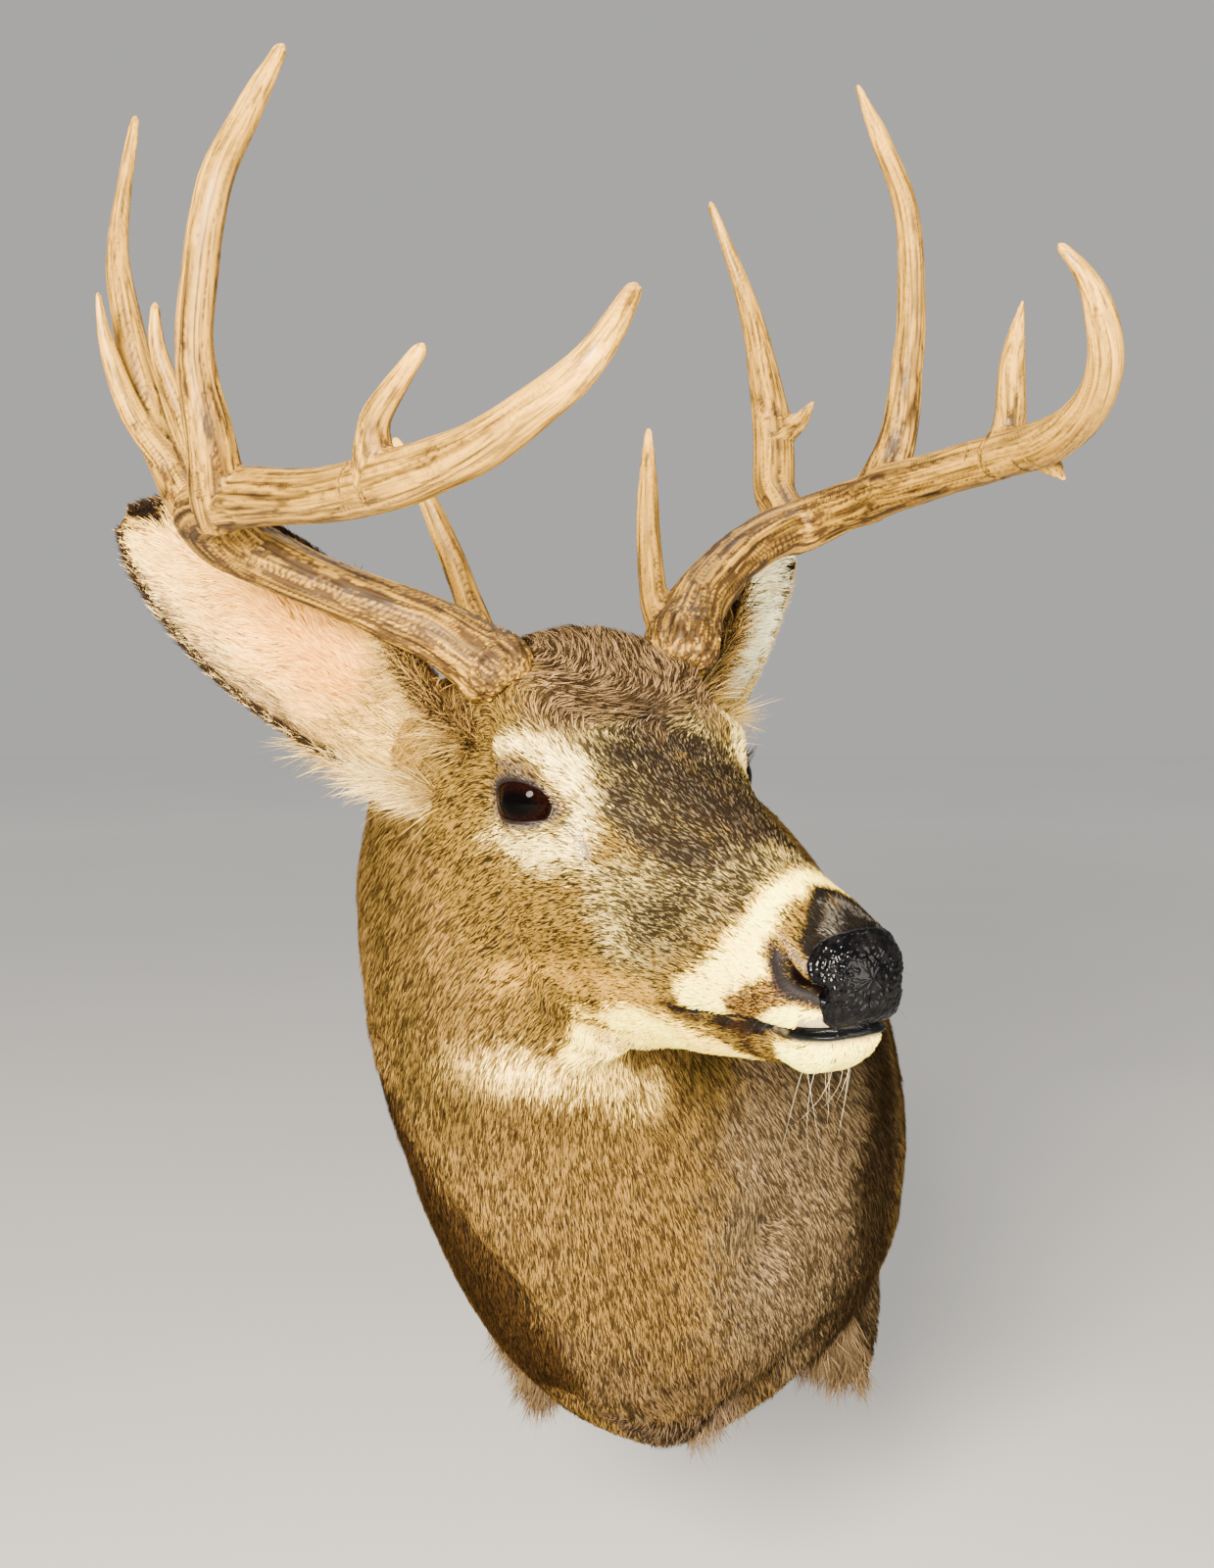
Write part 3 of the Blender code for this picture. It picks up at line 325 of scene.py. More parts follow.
# Where the hair is combed another way, in mm in the head's frame: from, to, reach and strength
COMBS = (
    ((-34, -46, 52), (-6, -26, 42), 16, 2),
    ((-6, -26, 42), (8, 14, 35), 16, 2),
    ((0, 60, 16), (-18, 62, 34), 12, 1),
    ((0, -60, 16), (-18, -62, 34), 12, 1),
)

# Whorls of the body's hair, in mm in the wall's frame: middle, reach, turn of the hair in radians
WHORLS = (((44, -250, -62), 26, 1.1), ((-17, -243, -176), 24, -0.9))

# Finer forms of the hide, in mm, on both sides: a path, its reach and height
FINE_FORMS = (
    (NOSTRIL, 2.3, -8.5),
    (((162, 30, -56), (169, 30, -64), (180, 28, -68)), 3.6, 1.5),
    (((170, 26, -49), (181, 23, -56)), 3.4, 1.9),
    (TEAR, 1.7, -1.8),
    (((-18, 66, 13), (-4, 65, 16), (9, 60, 13)), 2.6, -1.4),
    (((-16, 66, -17), (0, 65, -19), (14, 60, -17)), 3, -1),
    (((86, 38, -94), (98, 36, -101)), 4, -1.6),
    (((196, 0, -62), (199, 0, -84)), 1.4, -1.4),
    (((122, 27, -103), (146, 23, -100)), 7, -2.6),
)

# Crease of the mouth: reach and height; lower lip: reach, height, place below the mouth, and start
MOUTH_CREASE = (1.6, -2.6)
LOWER_LIP = (1.9, 2.6, 2.3, 156)

# Folds of the neck's hide, in mm in the wall's frame: a path, its reach and height
NECK_FOLDS = (
    (((-162, -320, 60), (-150, -322, 6), (-124, -314, -42), (-94, -304, -80), (-64, -284, -116)), 8, -6),
    (((-146, -334, 40), (-132, -334, -10), (-104, -322, -50), (-74, -306, -88)), 12, 2.5),
    (((60, -235, -60), (40, -250, -120), (10, -245, -170)), 14, -3),
    (((36, -190, -196), (62, -180, -180), (84, -160, -166)), 22, -12),
    (((-66, -226, -178), (-42, -216, -196)), 16, -9),
)

# Depth of the coat over the hide, as station and mm
COAT_DEPTH = ((0, 0.2), (1.5, 0.6), (4, 1.2), (8, 1.7), (12, 2.6), (14, 4), (17, 5), (21, 6), (23, 4))

# Front edge of the hairy skin round the nose pad, as height and forward distance in mm
PAD_EDGE = ((-90, 187), (-82, 187.5), (-77, 188.5), (-70, 188), (-65, 187), (-60, 184), (-55, 182),
            (-48, 182), (-45, 184), (-42, 187), (-38, 196))

# Rim of the lids on the eyeball, forward and up from its middle, in mm
EYE_RIM = ((19.6, -5.4), (18, -0.4), (13.4, 4.8), (6.4, 8.2), (-2.2, 9.4), (-11, 7.6), (-16.6, 3.6),
           (-18.4, -1.6), (-17, -6.4), (-12.6, -10.6), (-3.6, -11.8), (5.4, -11.6), (13.8, -10))

# Numbers of the hide's rings, and the station of each
RING_KNOTS = ((0, 0), (30, 3), (118, 9), (168, 13), (196, 15.2), (286, 23))
SKIN_SIDES = 256

WALL_GAP = 0.0002  # how far the hair stays off the wall
CLUMP = 0.0045  # distance between the tips that the tufts of a clump share
PATCH, PATCH_FIELD = 0.003, 0.994  # size of a tuft's patch in the bake map, and of the field of patches
HAIR_STEPS = 7  # points along a single hair
DOWN = (0, 0, -1)
DARK_HAIR = (0.01, 0.006, 0.003)


def amount(name, description, default, low, high, **kind):
    """A number that a user may change."""
    return FloatProperty(name=name, description=description, default=default, min=low, max=high, **kind)


def tint(name, description, default):
    """A colour that a user may change."""
    return FloatVectorProperty(
        name=name, description=description, default=default, subtype="COLOR", min=0.0, max=1.0
    )


class BuckSettings(bpy.types.PropertyGroup):
    """Sizes and colours that a user may change."""

    coat_density: amount(
        "Coat density", "Share of the full number of tufts", 1.0, 0.05, 1.2, subtype="FACTOR"
    )
    hair_length: amount(
        "Hair length", "Length of every hair, as a share of the normal one", 1.0, 0.4, 1.6, subtype="FACTOR"
    )
    face_hair_width: amount(
        "Face hair width", "Width of a tuft on the face", 0.00054, 0.0002, 0.002, unit="LENGTH"
    )
    neck_hair_width: amount(
        "Neck hair width", "Width of a tuft on the neck and body", 0.00062, 0.0003, 0.003, unit="LENGTH"
    )
    groove_depth: amount(
        "Antler groove depth", "Depth of the grooves at the foot of an antler", 0.0009, 0.0, 0.003,
        unit="LENGTH",
    )
    antler_pale: tint("Antler ivory", "Colour of worn antler", (0.42, 0.220, 0.026))
    antler_dark: tint("Antler brown", "Colour of the stained grooves", (0.032, 0.015, 0.0038))
    iris_colour: tint("Iris", "Colour of the glass eye's iris", (0.006, 0.0017, 0.0010))
    # The floor's colour under the mount, which holds its painted shade
    floor_colour: tint("Floor", "Colour of the studio floor", (0.46, 0.45, 0.43))
    key_power: amount("Key light", "Power of the main lamp in watts", 440.0, 1.0, 900.0, unit="POWER")


def settings():
    return bpy.context.scene.buck


# Shapes

def axes_of(turn, lean, tilt):
    """Forward, left and top directions in the wall's frame, a row for each set of angles in radians."""
    turn, lean, tilt = (np.atleast_1d(angle)[:, None] for angle in (turn, lean, tilt))
    side, out = (a * (1, 0, 0) + b * (0, 1, 0) for a, b in (
        (np.cos(turn), np.sin(turn)), (np.sin(turn), -np.cos(turn))))
    up = np.array((0, 0, 1.0))
    forward, crown = np.cos(lean) * out + np.sin(lean) * up, np.cos(lean) * up - np.sin(lean) * out
    return forward, np.cos(tilt) * side + np.sin(tilt) * crown, np.cos(tilt) * crown - np.sin(tilt) * side


HEAD_AXES = np.concatenate(axes_of(HEAD_TURN, -HEAD_NOD, HEAD_TILT)).T.copy()


def from_head(points):
    """Points in the head's frame, in mm, to metres in the wall's frame."""
    return np.asarray(points, float) * MM @ HEAD_AXES.T + np.array(HEAD_AT)


def to_head(points):
    return (np.asarray(points, float) - np.array(HEAD_AT)) @ HEAD_AXES / MM


def stations():
    """One row per section: centre, turn, lean, tilt, half width, rise, drop and the two roundnesses."""
    rows = []
    for x, top, bottom, half, widest, above, below in HEAD_SECTIONS:
        centre = from_head((x, 0, widest))
        angles = (HEAD_TURN, -HEAD_NOD, HEAD_TILT)
        sizes = (half * MM, (top - widest) * MM, (widest - bottom) * MM)
        rows.append((*centre, *angles, *sizes, above, below))
    for out_t, high_t, out_b, high_b, shift, turn, tilt, half, share, above, below in BODY_SECTIONS:
        lean = math.atan2(out_b - out_t, high_t - high_b)
        height = math.hypot(out_b - out_t, high_t - high_b)
        out = out_b + share * (out_t - out_b)
        centre = (shift, -out, high_b + share * (high_t - high_b))
        angles = (math.radians(turn), lean, math.radians(tilt))
        rows.append((*centre, *angles, half, (1 - share) * height, share * height, above, below))
    return np.array(rows)


STATIONS = stations()
LAST = len(STATIONS) - 1


def between(rows, at):
    """Rows at fractional places, on a smooth curve through the given ones."""
    last = len(rows) - 1
    i = np.minimum(at.astype(int), last - 1)
    f = (at - i)[:, None]
    p0, p1 = rows[np.maximum(i - 1, 0)], rows[i]
    p2, p3 = rows[i + 1], rows[np.minimum(i + 2, last)]
    m1, m2 = (p2 - p0) / 2, (p3 - p1) / 2
    return (
        (2 * f**3 - 3 * f**2 + 1) * p1
        + (f**3 - 2 * f**2 + f) * m1
        + (3 * f**2 - 2 * f**3) * p2
        + (f**3 - f**2) * m2
    )


def along(at):
    """The section values at fractional stations."""
    return between(STATIONS, np.clip(np.asarray(at, float), 0, LAST))


def plain_skin(at, around):
    """Points of the body's smooth skin: at is the station of each, around its angle from the top line."""
    v = along(at)
    half, rise, drop, above, below = (v[:, k] for k in range(6, 11))
    _, left, top = axes_of(*v[:, 3:6].T)
    s, c = np.sin(around), np.cos(around)
    power = 2 / np.where(c >= 0, above, below)
    y = half * np.sign(s) * np.abs(s) ** power
    z = np.where(c >= 0, rise, drop) * np.sign(c) * np.abs(c) ** power
    return v[:, :3] + y[:, None] * left + z[:, None] * top


def hill(x):
    """A rounded hill of height 1 and reach 1."""
    return np.exp(-(x**2))


def unit(vectors, least=0.0):
    """Rows of vectors at length 1; those shorter than the least length stay short."""
    return vectors / np.maximum(np.linalg.norm(vectors, axis=-1, keepdims=True), least)


def mix(first, second, weight):
    """Rows of the first turned into the second where the weight goes from 0 to 1."""
    return first * (1 - weight[:, None]) + np.array(second, float) * weight[:, None]


def below_mouth(head):
    """How far points of the head's frame are below the line of the mouth, in mm."""
    return np.interp(head[:, 0], *np.array(MOUTH_LINE, float).T) - head[:, 2]


def add_forms(rise, points, forms):
    """The rise with rounded ridges and furrows along paths added to it."""
    for path, reach, height in forms:
        rise = rise + height * hill(near_path(points, path)[0] / reach)
    return rise


def form_height(head):
    """How far the forms of the head stand out of the smooth skin, in mm, at points of the head's frame."""
    rise = add_forms(np.zeros(len(head)), folded(head), HEAD_FORMS)
    below = below_mouth(head)
    within = np.clip((head[:, 0] - MOUTH_LINE[0][0]) / MOUTH_CORNER_FADE, 0, 1)
    reach, depth = MOUTH_GROOVE
    rise += depth * within * hill(below / reach)
    return rise - LIP_STEP * within * np.clip(below / 3, 0, 1) * hill(below / LIP_DEPTH)


def skin(at, around, outward=0.0):
    """Points of the skin with the forms of the head on it, moved outward by a distance in metres."""
    step = 1e-3
    here = plain_skin(at, around)
    back = plain_skin(np.clip(at + step, 0, LAST), around) - plain_skin(np.clip(at - step, 0, LAST), around)
    normal = unit(np.cross(plain_skin(at, around + step) - plain_skin(at, around - step), back), 1e-12)
    rise = form_height(to_head(here)) * MM + outward
    return here + rise[:, None] * normal


def length_along(points):
    """Distance of each point of a line, or of each of several lines, from its first."""
    steps = np.linalg.norm(np.diff(points, axis=-2), axis=-1)
    return np.concatenate([0 * steps[..., :1], np.cumsum(steps, axis=-1)], axis=-1)


def even_around(at, sides):
    """Angles that space the points of one ring evenly along it."""
    fine = np.linspace(0, 2 * np.pi, 721)
    length = length_along(plain_skin(np.full(721, at), fine))
    return np.interp(np.linspace(0, length[-1], sides, endpoint=False), length, fine)


def frame_along(direction):
    """The given direction at length 1, and two directions across it."""
    along_ = np.array(direction, float)
    along_ /= np.linalg.norm(along_)
    across = np.cross(along_, (0, 0, 1))
    across /= np.linalg.norm(across)
    return along_, across, np.cross(across, along_)


def smooth_rows(rows, times):
    """More rows, on a smooth curve through the given ones."""
    last = len(rows) - 1
    return between(np.array(rows, float), np.linspace(0, last, last * times + 1))


# Repeatable random numbers behind the noise and the pebbles
LATTICE = np.random.default_rng(5).uniform(-1, 1, 4096)


def scattered(cells, shift=13):
    """A repeatable random number from -1 to 1 for each cell of space."""
    key = (cells * (73856093, 19349663, 83492791)).sum(axis=1)
    return LATTICE[(key ^ key >> shift) & 4095]


def noise(points, size, seed=0):
    """Smooth noise from -1 to 1 with features of about the given size."""
    place = np.asarray(points, float) / size + 17.31 * (seed + 1)
    cell = np.floor(place).astype(np.int64)
    part = place - cell
    part = part * part * (3 - 2 * part)
    total = np.zeros(len(place))
    for corner in range(8):
        step = np.array([corner & 1, corner >> 1 & 1, corner >> 2])
        total += np.where(step, part, 1 - part).prod(axis=1) * scattered(cell + step)
    return total


def near_path(points, path):
    """Distance of each point from a bent line, and how far along it the nearest place is, 0 to 1."""
    best = np.full(len(points), 1e9)
    share = np.zeros(len(points))
    pieces = len(path) - 1
    for k in range(pieces):
        a, b = np.array(path[k], float), np.array(path[k + 1], float)
        run = b - a
        t = np.clip((points - a) @ run / (run @ run), 0, 1)
        far = np.linalg.norm(points - a - t[:, None] * run, axis=1)
        share = np.where(far < best, (k + t) / pieces, share)
        best = np.minimum(best, far)
    return best, share


def ease(x):
    x = np.clip(x, 0, 1)
    return x * x * (3 - 2 * x)


def folded(head):
    """Head points with the buck's right side laid over its left."""
    return np.stack([head[:, 0], np.abs(head[:, 1]), head[:, 2]], axis=1)


def fine_height(head):
    """Height of the finer forms of the hide, in mm, at points of the head's frame."""
    rise = add_forms(np.zeros(len(head)), folded(head), FINE_FORMS)
    below = below_mouth(head)
    within = np.clip((head[:, 0] - MOUTH_LINE[0][0] + 4) / MOUTH_CORNER_FADE, 0, 1)
    rise += MOUTH_CREASE[1] * within * hill(below / MOUTH_CREASE[0])
    reach, height, middle, start = LOWER_LIP
    return rise + height * ease((head[:, 0] - start) / 12) * hill((below - middle) / reach)


def pebbles(points, size):
    """Height from 0 to 1 of rounded pebbles of the given size, in the points' own unit."""
    place = np.asarray(points, float) / size
    cell = np.floor(place).astype(np.int64)
    near = np.full(len(place), 9.0)
    for corner in range(27):
        other = cell + (corner % 3 - 1, corner // 3 % 3 - 1, corner // 9 - 1)
        shift = np.stack([scattered(other, step) for step in (13, 7, 3)], 1)
        near = np.minimum(near, np.linalg.norm(other + 0.5 + 0.38 * shift - place, axis=1))
    return np.clip(1 - (near / 0.62) ** 2, 0, 1)


def pad_share(head):
    """1 on the bare black pad of the nose, 0 on the hair round it, with a thin step between."""
    z, x = np.array(PAD_EDGE, float).T
    ragged = 0.6 * noise(head, 3.0, 4)
    edge = np.interp(head[:, 2], z, x)
    return ease((head[:, 0] - edge + ragged) / 1.6) * ease((0.4 - below_mouth(head)) / 1.2)


def rim_reach(turn):
    """Distance of the lids' rim from the middle of the eye, in mm, at angles round it."""
    points = smooth_loop(EYE_RIM, 12)
    angle = np.arctan2(points[:, 1], points[:, 0])
    order = np.argsort(angle)
    return np.interp(turn, angle[order], np.hypot(*points.T)[order], period=2 * np.pi)


def smooth_loop(points, times):
    """A closed smooth curve through the given points."""
    points = np.array(points, float)
    wrapped = np.concatenate([points[-2:], points, points[:3]])
    fine = smooth_rows(wrapped, times)
    return fine[2 * times : (2 + len(points)) * times]


def eye_frame(mirror):
    """Middle of the eye, the way it looks, and forward and up across it."""
    middle = np.array(EYE_MIDDLE) * (1, mirror, 1)
    look, across, up = frame_along(np.array(EYE_AXIS) * (1, mirror, 1))
    return middle, look, across if across[0] > 0 else -across, up


def in_eye(head, mirror):
    """Points of the head's frame in one eye's own frame: outward, forward and up from its middle."""
    middle, look, forward, up = eye_frame(mirror)
    return ((head - middle) @ np.stack([look, forward, up], axis=1)).T


def set_round_eyes(head):
    """Draws the hide over the eyeballs as lids and lets it sink behind the glass in their opening."""
    for mirror in (1, -1):
        middle, look, forward, up = eye_frame(mirror)
        out, a, b = in_eye(head, mirror)
        wide = np.hypot(a, b)
        near = (out > -4) & (wide < EYE_RADIUS + 12)
        rim = rim_reach(np.arctan2(b, a))
        ratio = wide / rim
        gap = ratio - 1
        pulled = np.where(np.abs(gap) < LID_PULL, 1 + gap * np.abs(gap) / LID_PULL, ratio)
        wide_new = pulled * rim
        lid = EYE_RADIUS + 1.3 + 1.1 * ease((ratio - 1) / 0.35)
        shell = np.sqrt(np.maximum(lid**2 - wide_new**2, 0))
        share = np.clip(0.5 + 0.5 * (shell - out) / LID_BLEND, 0, 1)
        covered = out + (shell - out) * share + LID_BLEND * share * (1 - share)
        covered = np.where(wide_new < lid - 0.3, covered, out)
        hidden = np.sqrt(np.maximum(EYE_RADIUS**2 - wide_new**2, 0)) - BEHIND_GLASS
        inside = ease((1.0 - pulled) / 0.05)
        out_new = covered * (1 - inside) + hidden * inside
        scale = np.where(wide > 1e-6, wide_new / np.maximum(wide, 1e-6), 1)
        moved = middle + out_new[:, None] * look
        moved += (a * scale)[:, None] * forward + (b * scale)[:, None] * up
        head = np.where(near[:, None], moved, head)
    return head


def rim_ratio(head):
    """Distance from the middle of the nearer eye as a share of the lids' rim, large away from the eyes."""
    best = np.full(len(head), 9.0)
    for mirror in (1, -1):
        out, a, b = in_eye(head, mirror)
        ratio = np.hypot(a, b) / rim_reach(np.arctan2(b, a))
        best = np.where(out > -4, np.minimum(best, ratio), best)
    return best


def spread(field, times):
    """Softens a field over the rings and sides of the hide."""
    for _ in range(times):
        field = (np.roll(field, 1, 1) + 2 * field + np.roll(field, -1, 1)) / 4
        field[1:-1] = (field[:-2] + 2 * field[1:-1] + field[2:]) / 4
    return field


def push_out_stubs(points, at):
    """Swells the hide over the stubs of the forelegs."""
    centre = along(at)[:, None, :3]
    ray = points - centre
    far = np.linalg.norm(ray, axis=2)
    ray = ray / far[:, :, None]
    for x, out, z, wide, deep, high in LEG_STUBS:
        size = np.array([wide, deep, high]) - COAT_DEPTH[-2][1] * MM
        start = (centre - np.array([x, -out, z])) / size
        way = ray / size
        a = (way**2).sum(axis=2)
        b = (way * start).sum(axis=2)
        c = (start**2).sum(axis=2) - 1
        root = b * b - a * c
        exit_ = (np.sqrt(np.maximum(root, 0)) - b) / a
        push = np.where((root > 0) & (exit_ > far), exit_ - far, 0)
        points = points + spread(push, 4)[:, :, None] * ray
    points[:, :, 1] = np.minimum(points[:, :, 1], 0)
    return points


def skin_rings(at, sides, depth=0.0):
    """Rings of evenly spaced points of the skin at the given stations, moved inward by a depth."""
    around = np.array([even_around(a, sides) for a in at])
    return skin(np.repeat(at, sides), around.ravel(), -depth).reshape(len(at), sides, 3)


@cache
def hide_grid():
    """Points of the hide as rings by sides, the same before its fine forms, and each ring's station."""
    at = np.interp(np.arange(RING_KNOTS[-1][0] + 1), *np.array(RING_KNOTS).T)
    flat = np.repeat(at, SKIN_SIDES)
    grid = skin_rings(at, SKIN_SIDES, np.interp(flat, *np.array(COAT_DEPTH).T) * MM)
    plain = push_out_stubs(grid, at)
    normal = grid_normals(plain)[0].reshape(-1, 3)
    points = plain.reshape(-1, 3)
    head = to_head(points)
    rise = np.where(flat < 15, fine_height(head), 0.0) - 1.2 * pad_share(head)
    rise = add_forms(rise, points / MM, NECK_FOLDS)
    rise += np.interp(flat, (12, 17), (0.15, 1.2)) * noise(points, 0.03, 2)
    rise *= np.interp(flat, (22.4, 23), (1, 0))
    points = points + (rise * MM)[:, None] * normal
    points[:, 1] = np.minimum(points[:, 1], 0)
    points = from_head(set_round_eyes(to_head(points)))
    return points.reshape(grid.shape), plain, at


def grid_normals(grid, flip=1):
    """Outward directions of a grid of points that closes on itself sideways, and its two tangents."""
    back = np.gradient(grid, axis=0)
    side = (np.roll(grid, -1, 1) - np.roll(grid, 1, 1)) / 2
    return unit(flip * np.cross(side, back), 1e-15), back, side


# Meshes

def new_object(name, data):
    """An object in the scene that holds the given mesh, lamp or camera."""
    obj = bpy.data.objects.new(name, data)
    bpy.context.scene.collection.objects.link(obj)
    return obj


def read(items, key, width=3):
    """One row of numbers for each point or edge of a mesh."""
    values = np.empty(len(items) * width, np.int32 if width == 2 else np.float32)
    items.foreach_get(key, values)
    return values.reshape(-1, width)


def keep_result(obj):
    """Makes what a piece's modifiers give its plain mesh."""
    graph = bpy.context.evaluated_depsgraph_get()
    made = bpy.data.meshes.new_from_object(obj.evaluated_get(graph))
    obj.modifiers.clear()
    obj.data = made
    return obj


def new_piece(name, points, faces, material=None):
    """A mesh object from points and an array, or several arrays, of faces."""
    groups = faces if isinstance(faces, list) else [faces]
    mesh = bpy.data.meshes.new(name)
    mesh.vertices.add(len(points))
    mesh.vertices.foreach_set("co", np.asarray(points, np.float32).ravel())
    corners = np.concatenate([np.asarray(g, np.int32).ravel() for g in groups])
    sizes = np.concatenate([np.full(len(g), np.shape(g)[1]) for g in groups])
    mesh.loops.add(len(corners))
    mesh.loops.foreach_set("vertex_index", corners)
    mesh.polygons.add(len(sizes))
    starts = np.concatenate([[0], np.cumsum(sizes)[:-1]]).astype(np.int32)
    mesh.polygons.foreach_set("loop_start", starts)
    mesh.update(calc_edges=True)
    mesh.validate()
    obj = new_object(name, mesh)
    mesh.shade_smooth()
    if material:
        mesh.materials.append(material)
    return obj


def give_colours(obj, colours, name="coat"):
    """Stores one colour for each point; a fourth value, if any, is how wet it is."""
    values = np.ones((len(colours), 4), np.float32)
    values[:, : colours.shape[1]] = colours
    layer = obj.data.color_attributes.new(name, "FLOAT_COLOR", "POINT")
    layer.data.foreach_set("color", values.ravel())


def give_vectors(obj, vectors, name):
    layer = obj.data.attributes.new(name, "FLOAT_VECTOR", "POINT")
    layer.data.foreach_set("vector", np.asarray(vectors, np.float32).ravel())


def give_bake_map(obj, places):
    """The map that a bake uses, from one place for each point."""
    corners = np.empty(len(obj.data.loops), np.int32)
    obj.data.loops.foreach_get("vertex_index", corners)
    layer = obj.data.uv_layers.new(name="OFBake")
    layer.uv.foreach_set("vector", np.asarray(places, np.float32)[corners].ravel())


def ring_faces(rings, sides):
    """Quads between rings of a closed grid."""
    row = np.arange(rings - 1)[:, None] * sides
    a, b = ((row + (np.arange(sides) + step) % sides).ravel() for step in (0, 1))
    return np.stack([a, b, b + sides, a + sides], axis=1)


def tube_piece(name, rings, material, flip=False):
    """A closed round piece through rings of equally many points."""
    rings = np.asarray(rings, float)
    count, sides, _ = rings.shape
    points = np.concatenate([rings.reshape(-1, 3), rings[0].mean(0)[None], rings[-1].mean(0)[None]])
    first, end = np.arange(sides), (count - 1) * sides
    after, hub = np.roll(first, -1), np.full(sides, count * sides)
    fans = np.concatenate(
        [np.stack([after, first, hub], 1), np.stack([first + end, after + end, hub + 1], 1)]
    )
    quads = ring_faces(count, sides)
    if flip:
        quads, fans = quads[:, ::-1], fans[:, ::-1]
    return new_piece(name, points, [quads, fans], material)


def ring_of(sides, first, second):
    """Directions round a circle, from the first of two across it toward the second."""
    turn = np.arange(sides) * 2 * np.pi / sides
    return np.cos(turn)[:, None] * first + np.sin(turn)[:, None] * second


def round_path(path, radii, sides):
    """Rings round a path of points, one radius at each, its directions and the two across them."""
    path = np.asarray(path, float)
    run = unit(np.gradient(path, axis=0))
    across = np.cross(run[0], (0.3, 0.2, 1.0))
    rings, frames = [], []
    for centre, way, radius in zip(path, run, radii):
        across = across - (across @ way) * way
        across /= np.linalg.norm(across)
        frames.append((across, np.cross(way, across)))
        rings.append(centre + radius * ring_of(sides, *frames[-1]))
    return np.array(rings), run, np.array(frames)


# Hair

def kinds_at(points, jitter=0.0):
    """The kind of hair at points of the hide; jitter lets single hairs stray over a marking's edge."""
    head = to_head(points)
    ragged = 0.7 * noise(points, 0.011, 1) + 0.5 * noise(points, 0.004, 2) + jitter
    kinds = mix(np.array(HAIR["tan"]), HAIR["neck"], ease((-head[:, 0] - 20) / 50))
    for marks, where in ((BODY_MARKS, points / MM), (HEAD_MARKS, folded(head))):
        for kind, path, first, last, soft, strength in marks:
            far, share = near_path(where, path)
            edge = first + (last - first) * share - far + soft * 0.4 * ragged
            kinds = mix(kinds, HAIR[kind], strength * ease(edge / soft + 0.5))
    bare = np.minimum(near_path(folded(head), NOSTRIL)[0], 2 * near_path(folded(head), TEAR)[0])
    kinds[:, 4:6] *= (0.25 + 0.75 * ease((bare - 3) / 14))[:, None]
    return mix(kinds, HAIR["lip"], lip_share(head))


def lip_share(head):
    """1 on the bare black edge of the lower lip, and in the line of the mouth, where the black is painted
    shade in the crease.
    """
    below = below_mouth(head)
    front = ease((head[:, 0] - LOWER_LIP[3]) / 10)
    lower = front * ease((below + 0.6) / 0.8) * ease((4.9 - below) / 0.8)
    # Painted shade: the crease of the mouth is black.
    crease = ease((head[:, 0] - 84) / 14) * ease((1.7 - np.abs(below)) / 0.7)
    return np.maximum(lower, crease)


def sample(field, i, j):
    """Values between the points of a grid that closes on itself sideways."""
    rows, sides = field.shape[:2]
    i = np.clip(i, 0, rows - 1.001)
    j = np.mod(j, sides)
    a, b = i.astype(int), np.minimum(j.astype(int), sides - 1)
    f, g = (i - a)[:, None], (j - b)[:, None]
    c = (b + 1) % sides
    near = field[a, b] * (1 - f) + field[a + 1, b] * f
    return near * (1 - g) + (field[a, c] * (1 - f) + field[a + 1, c] * f) * g


def lie_of_hair(points, normal, back):
    """Direction in which the hair lies, from the nose to the body and then downward."""
    head = to_head(points)
    fall = ease((-head[:, 0] - 20) / 120)[:, None]
    way = unit(back) * (1 - 0.55 * fall) + np.array(DOWN) * (0.9 * fall)
    cheek = ease((60 - head[:, 0]) / 60) * ease((20 - head[:, 2]) / 50) * (1 - fall[:, 0])
    way = way + (0.5 * cheek)[:, None] * np.array(DOWN)
    for start, end, reach, strength in COMBS:
        along_ = (np.array(end, float) - start) @ HEAD_AXES.T
        along_ /= np.linalg.norm(along_)
        far = near_path(head, (start, end))[0]
        way = way + (strength * hill(far / reach))[:, None] * along_
    for middle, reach, turn in WHORLS:
        arm = points - np.array(middle) * MM
        far = np.linalg.norm(arm, axis=1) / MM
        arm /= np.maximum(far * MM, 1e-6)[:, None]
        spiral = math.cos(turn) * arm + math.sin(turn) * np.cross(normal, arm)
        way = way + (1.3 * hill(far / reach))[:, None] * spiral
    return way


def blades(name, spots, half, widths, colours, places, material):
    """Thin blades of three triangles through a root, a middle and a tip.

    half is half of a blade's width as a vector, and widths its shares at the root and the middle.
    Each blade has a small patch of the bake map, at its own place.
    """
    (low, mid, tip), (foot, waist) = spots, widths
    blade = np.stack([low + foot * half, low - foot * half, mid + waist * half, mid - waist * half, tip], 1)
    blade[:, :, 1] = np.minimum(blade[:, :, 1], -WALL_GAP)
    faces = np.arange(len(low))[:, None, None] * 5 + np.array([(0, 1, 3), (0, 3, 2), (2, 3, 4)])
    obj = new_piece(name, blade.reshape(-1, 3), faces.reshape(-1, 3), material)
    give_colours(obj, np.clip(colours, 0, 1).reshape(-1, 3))
    patch = PATCH * np.array([(0, 0), (1, 0), (0, 0.5), (1, 0.5), (0.5, 1)])
    give_bake_map(obj, (places[:, None] * PATCH_FIELD + patch).reshape(-1, 2))
    return obj


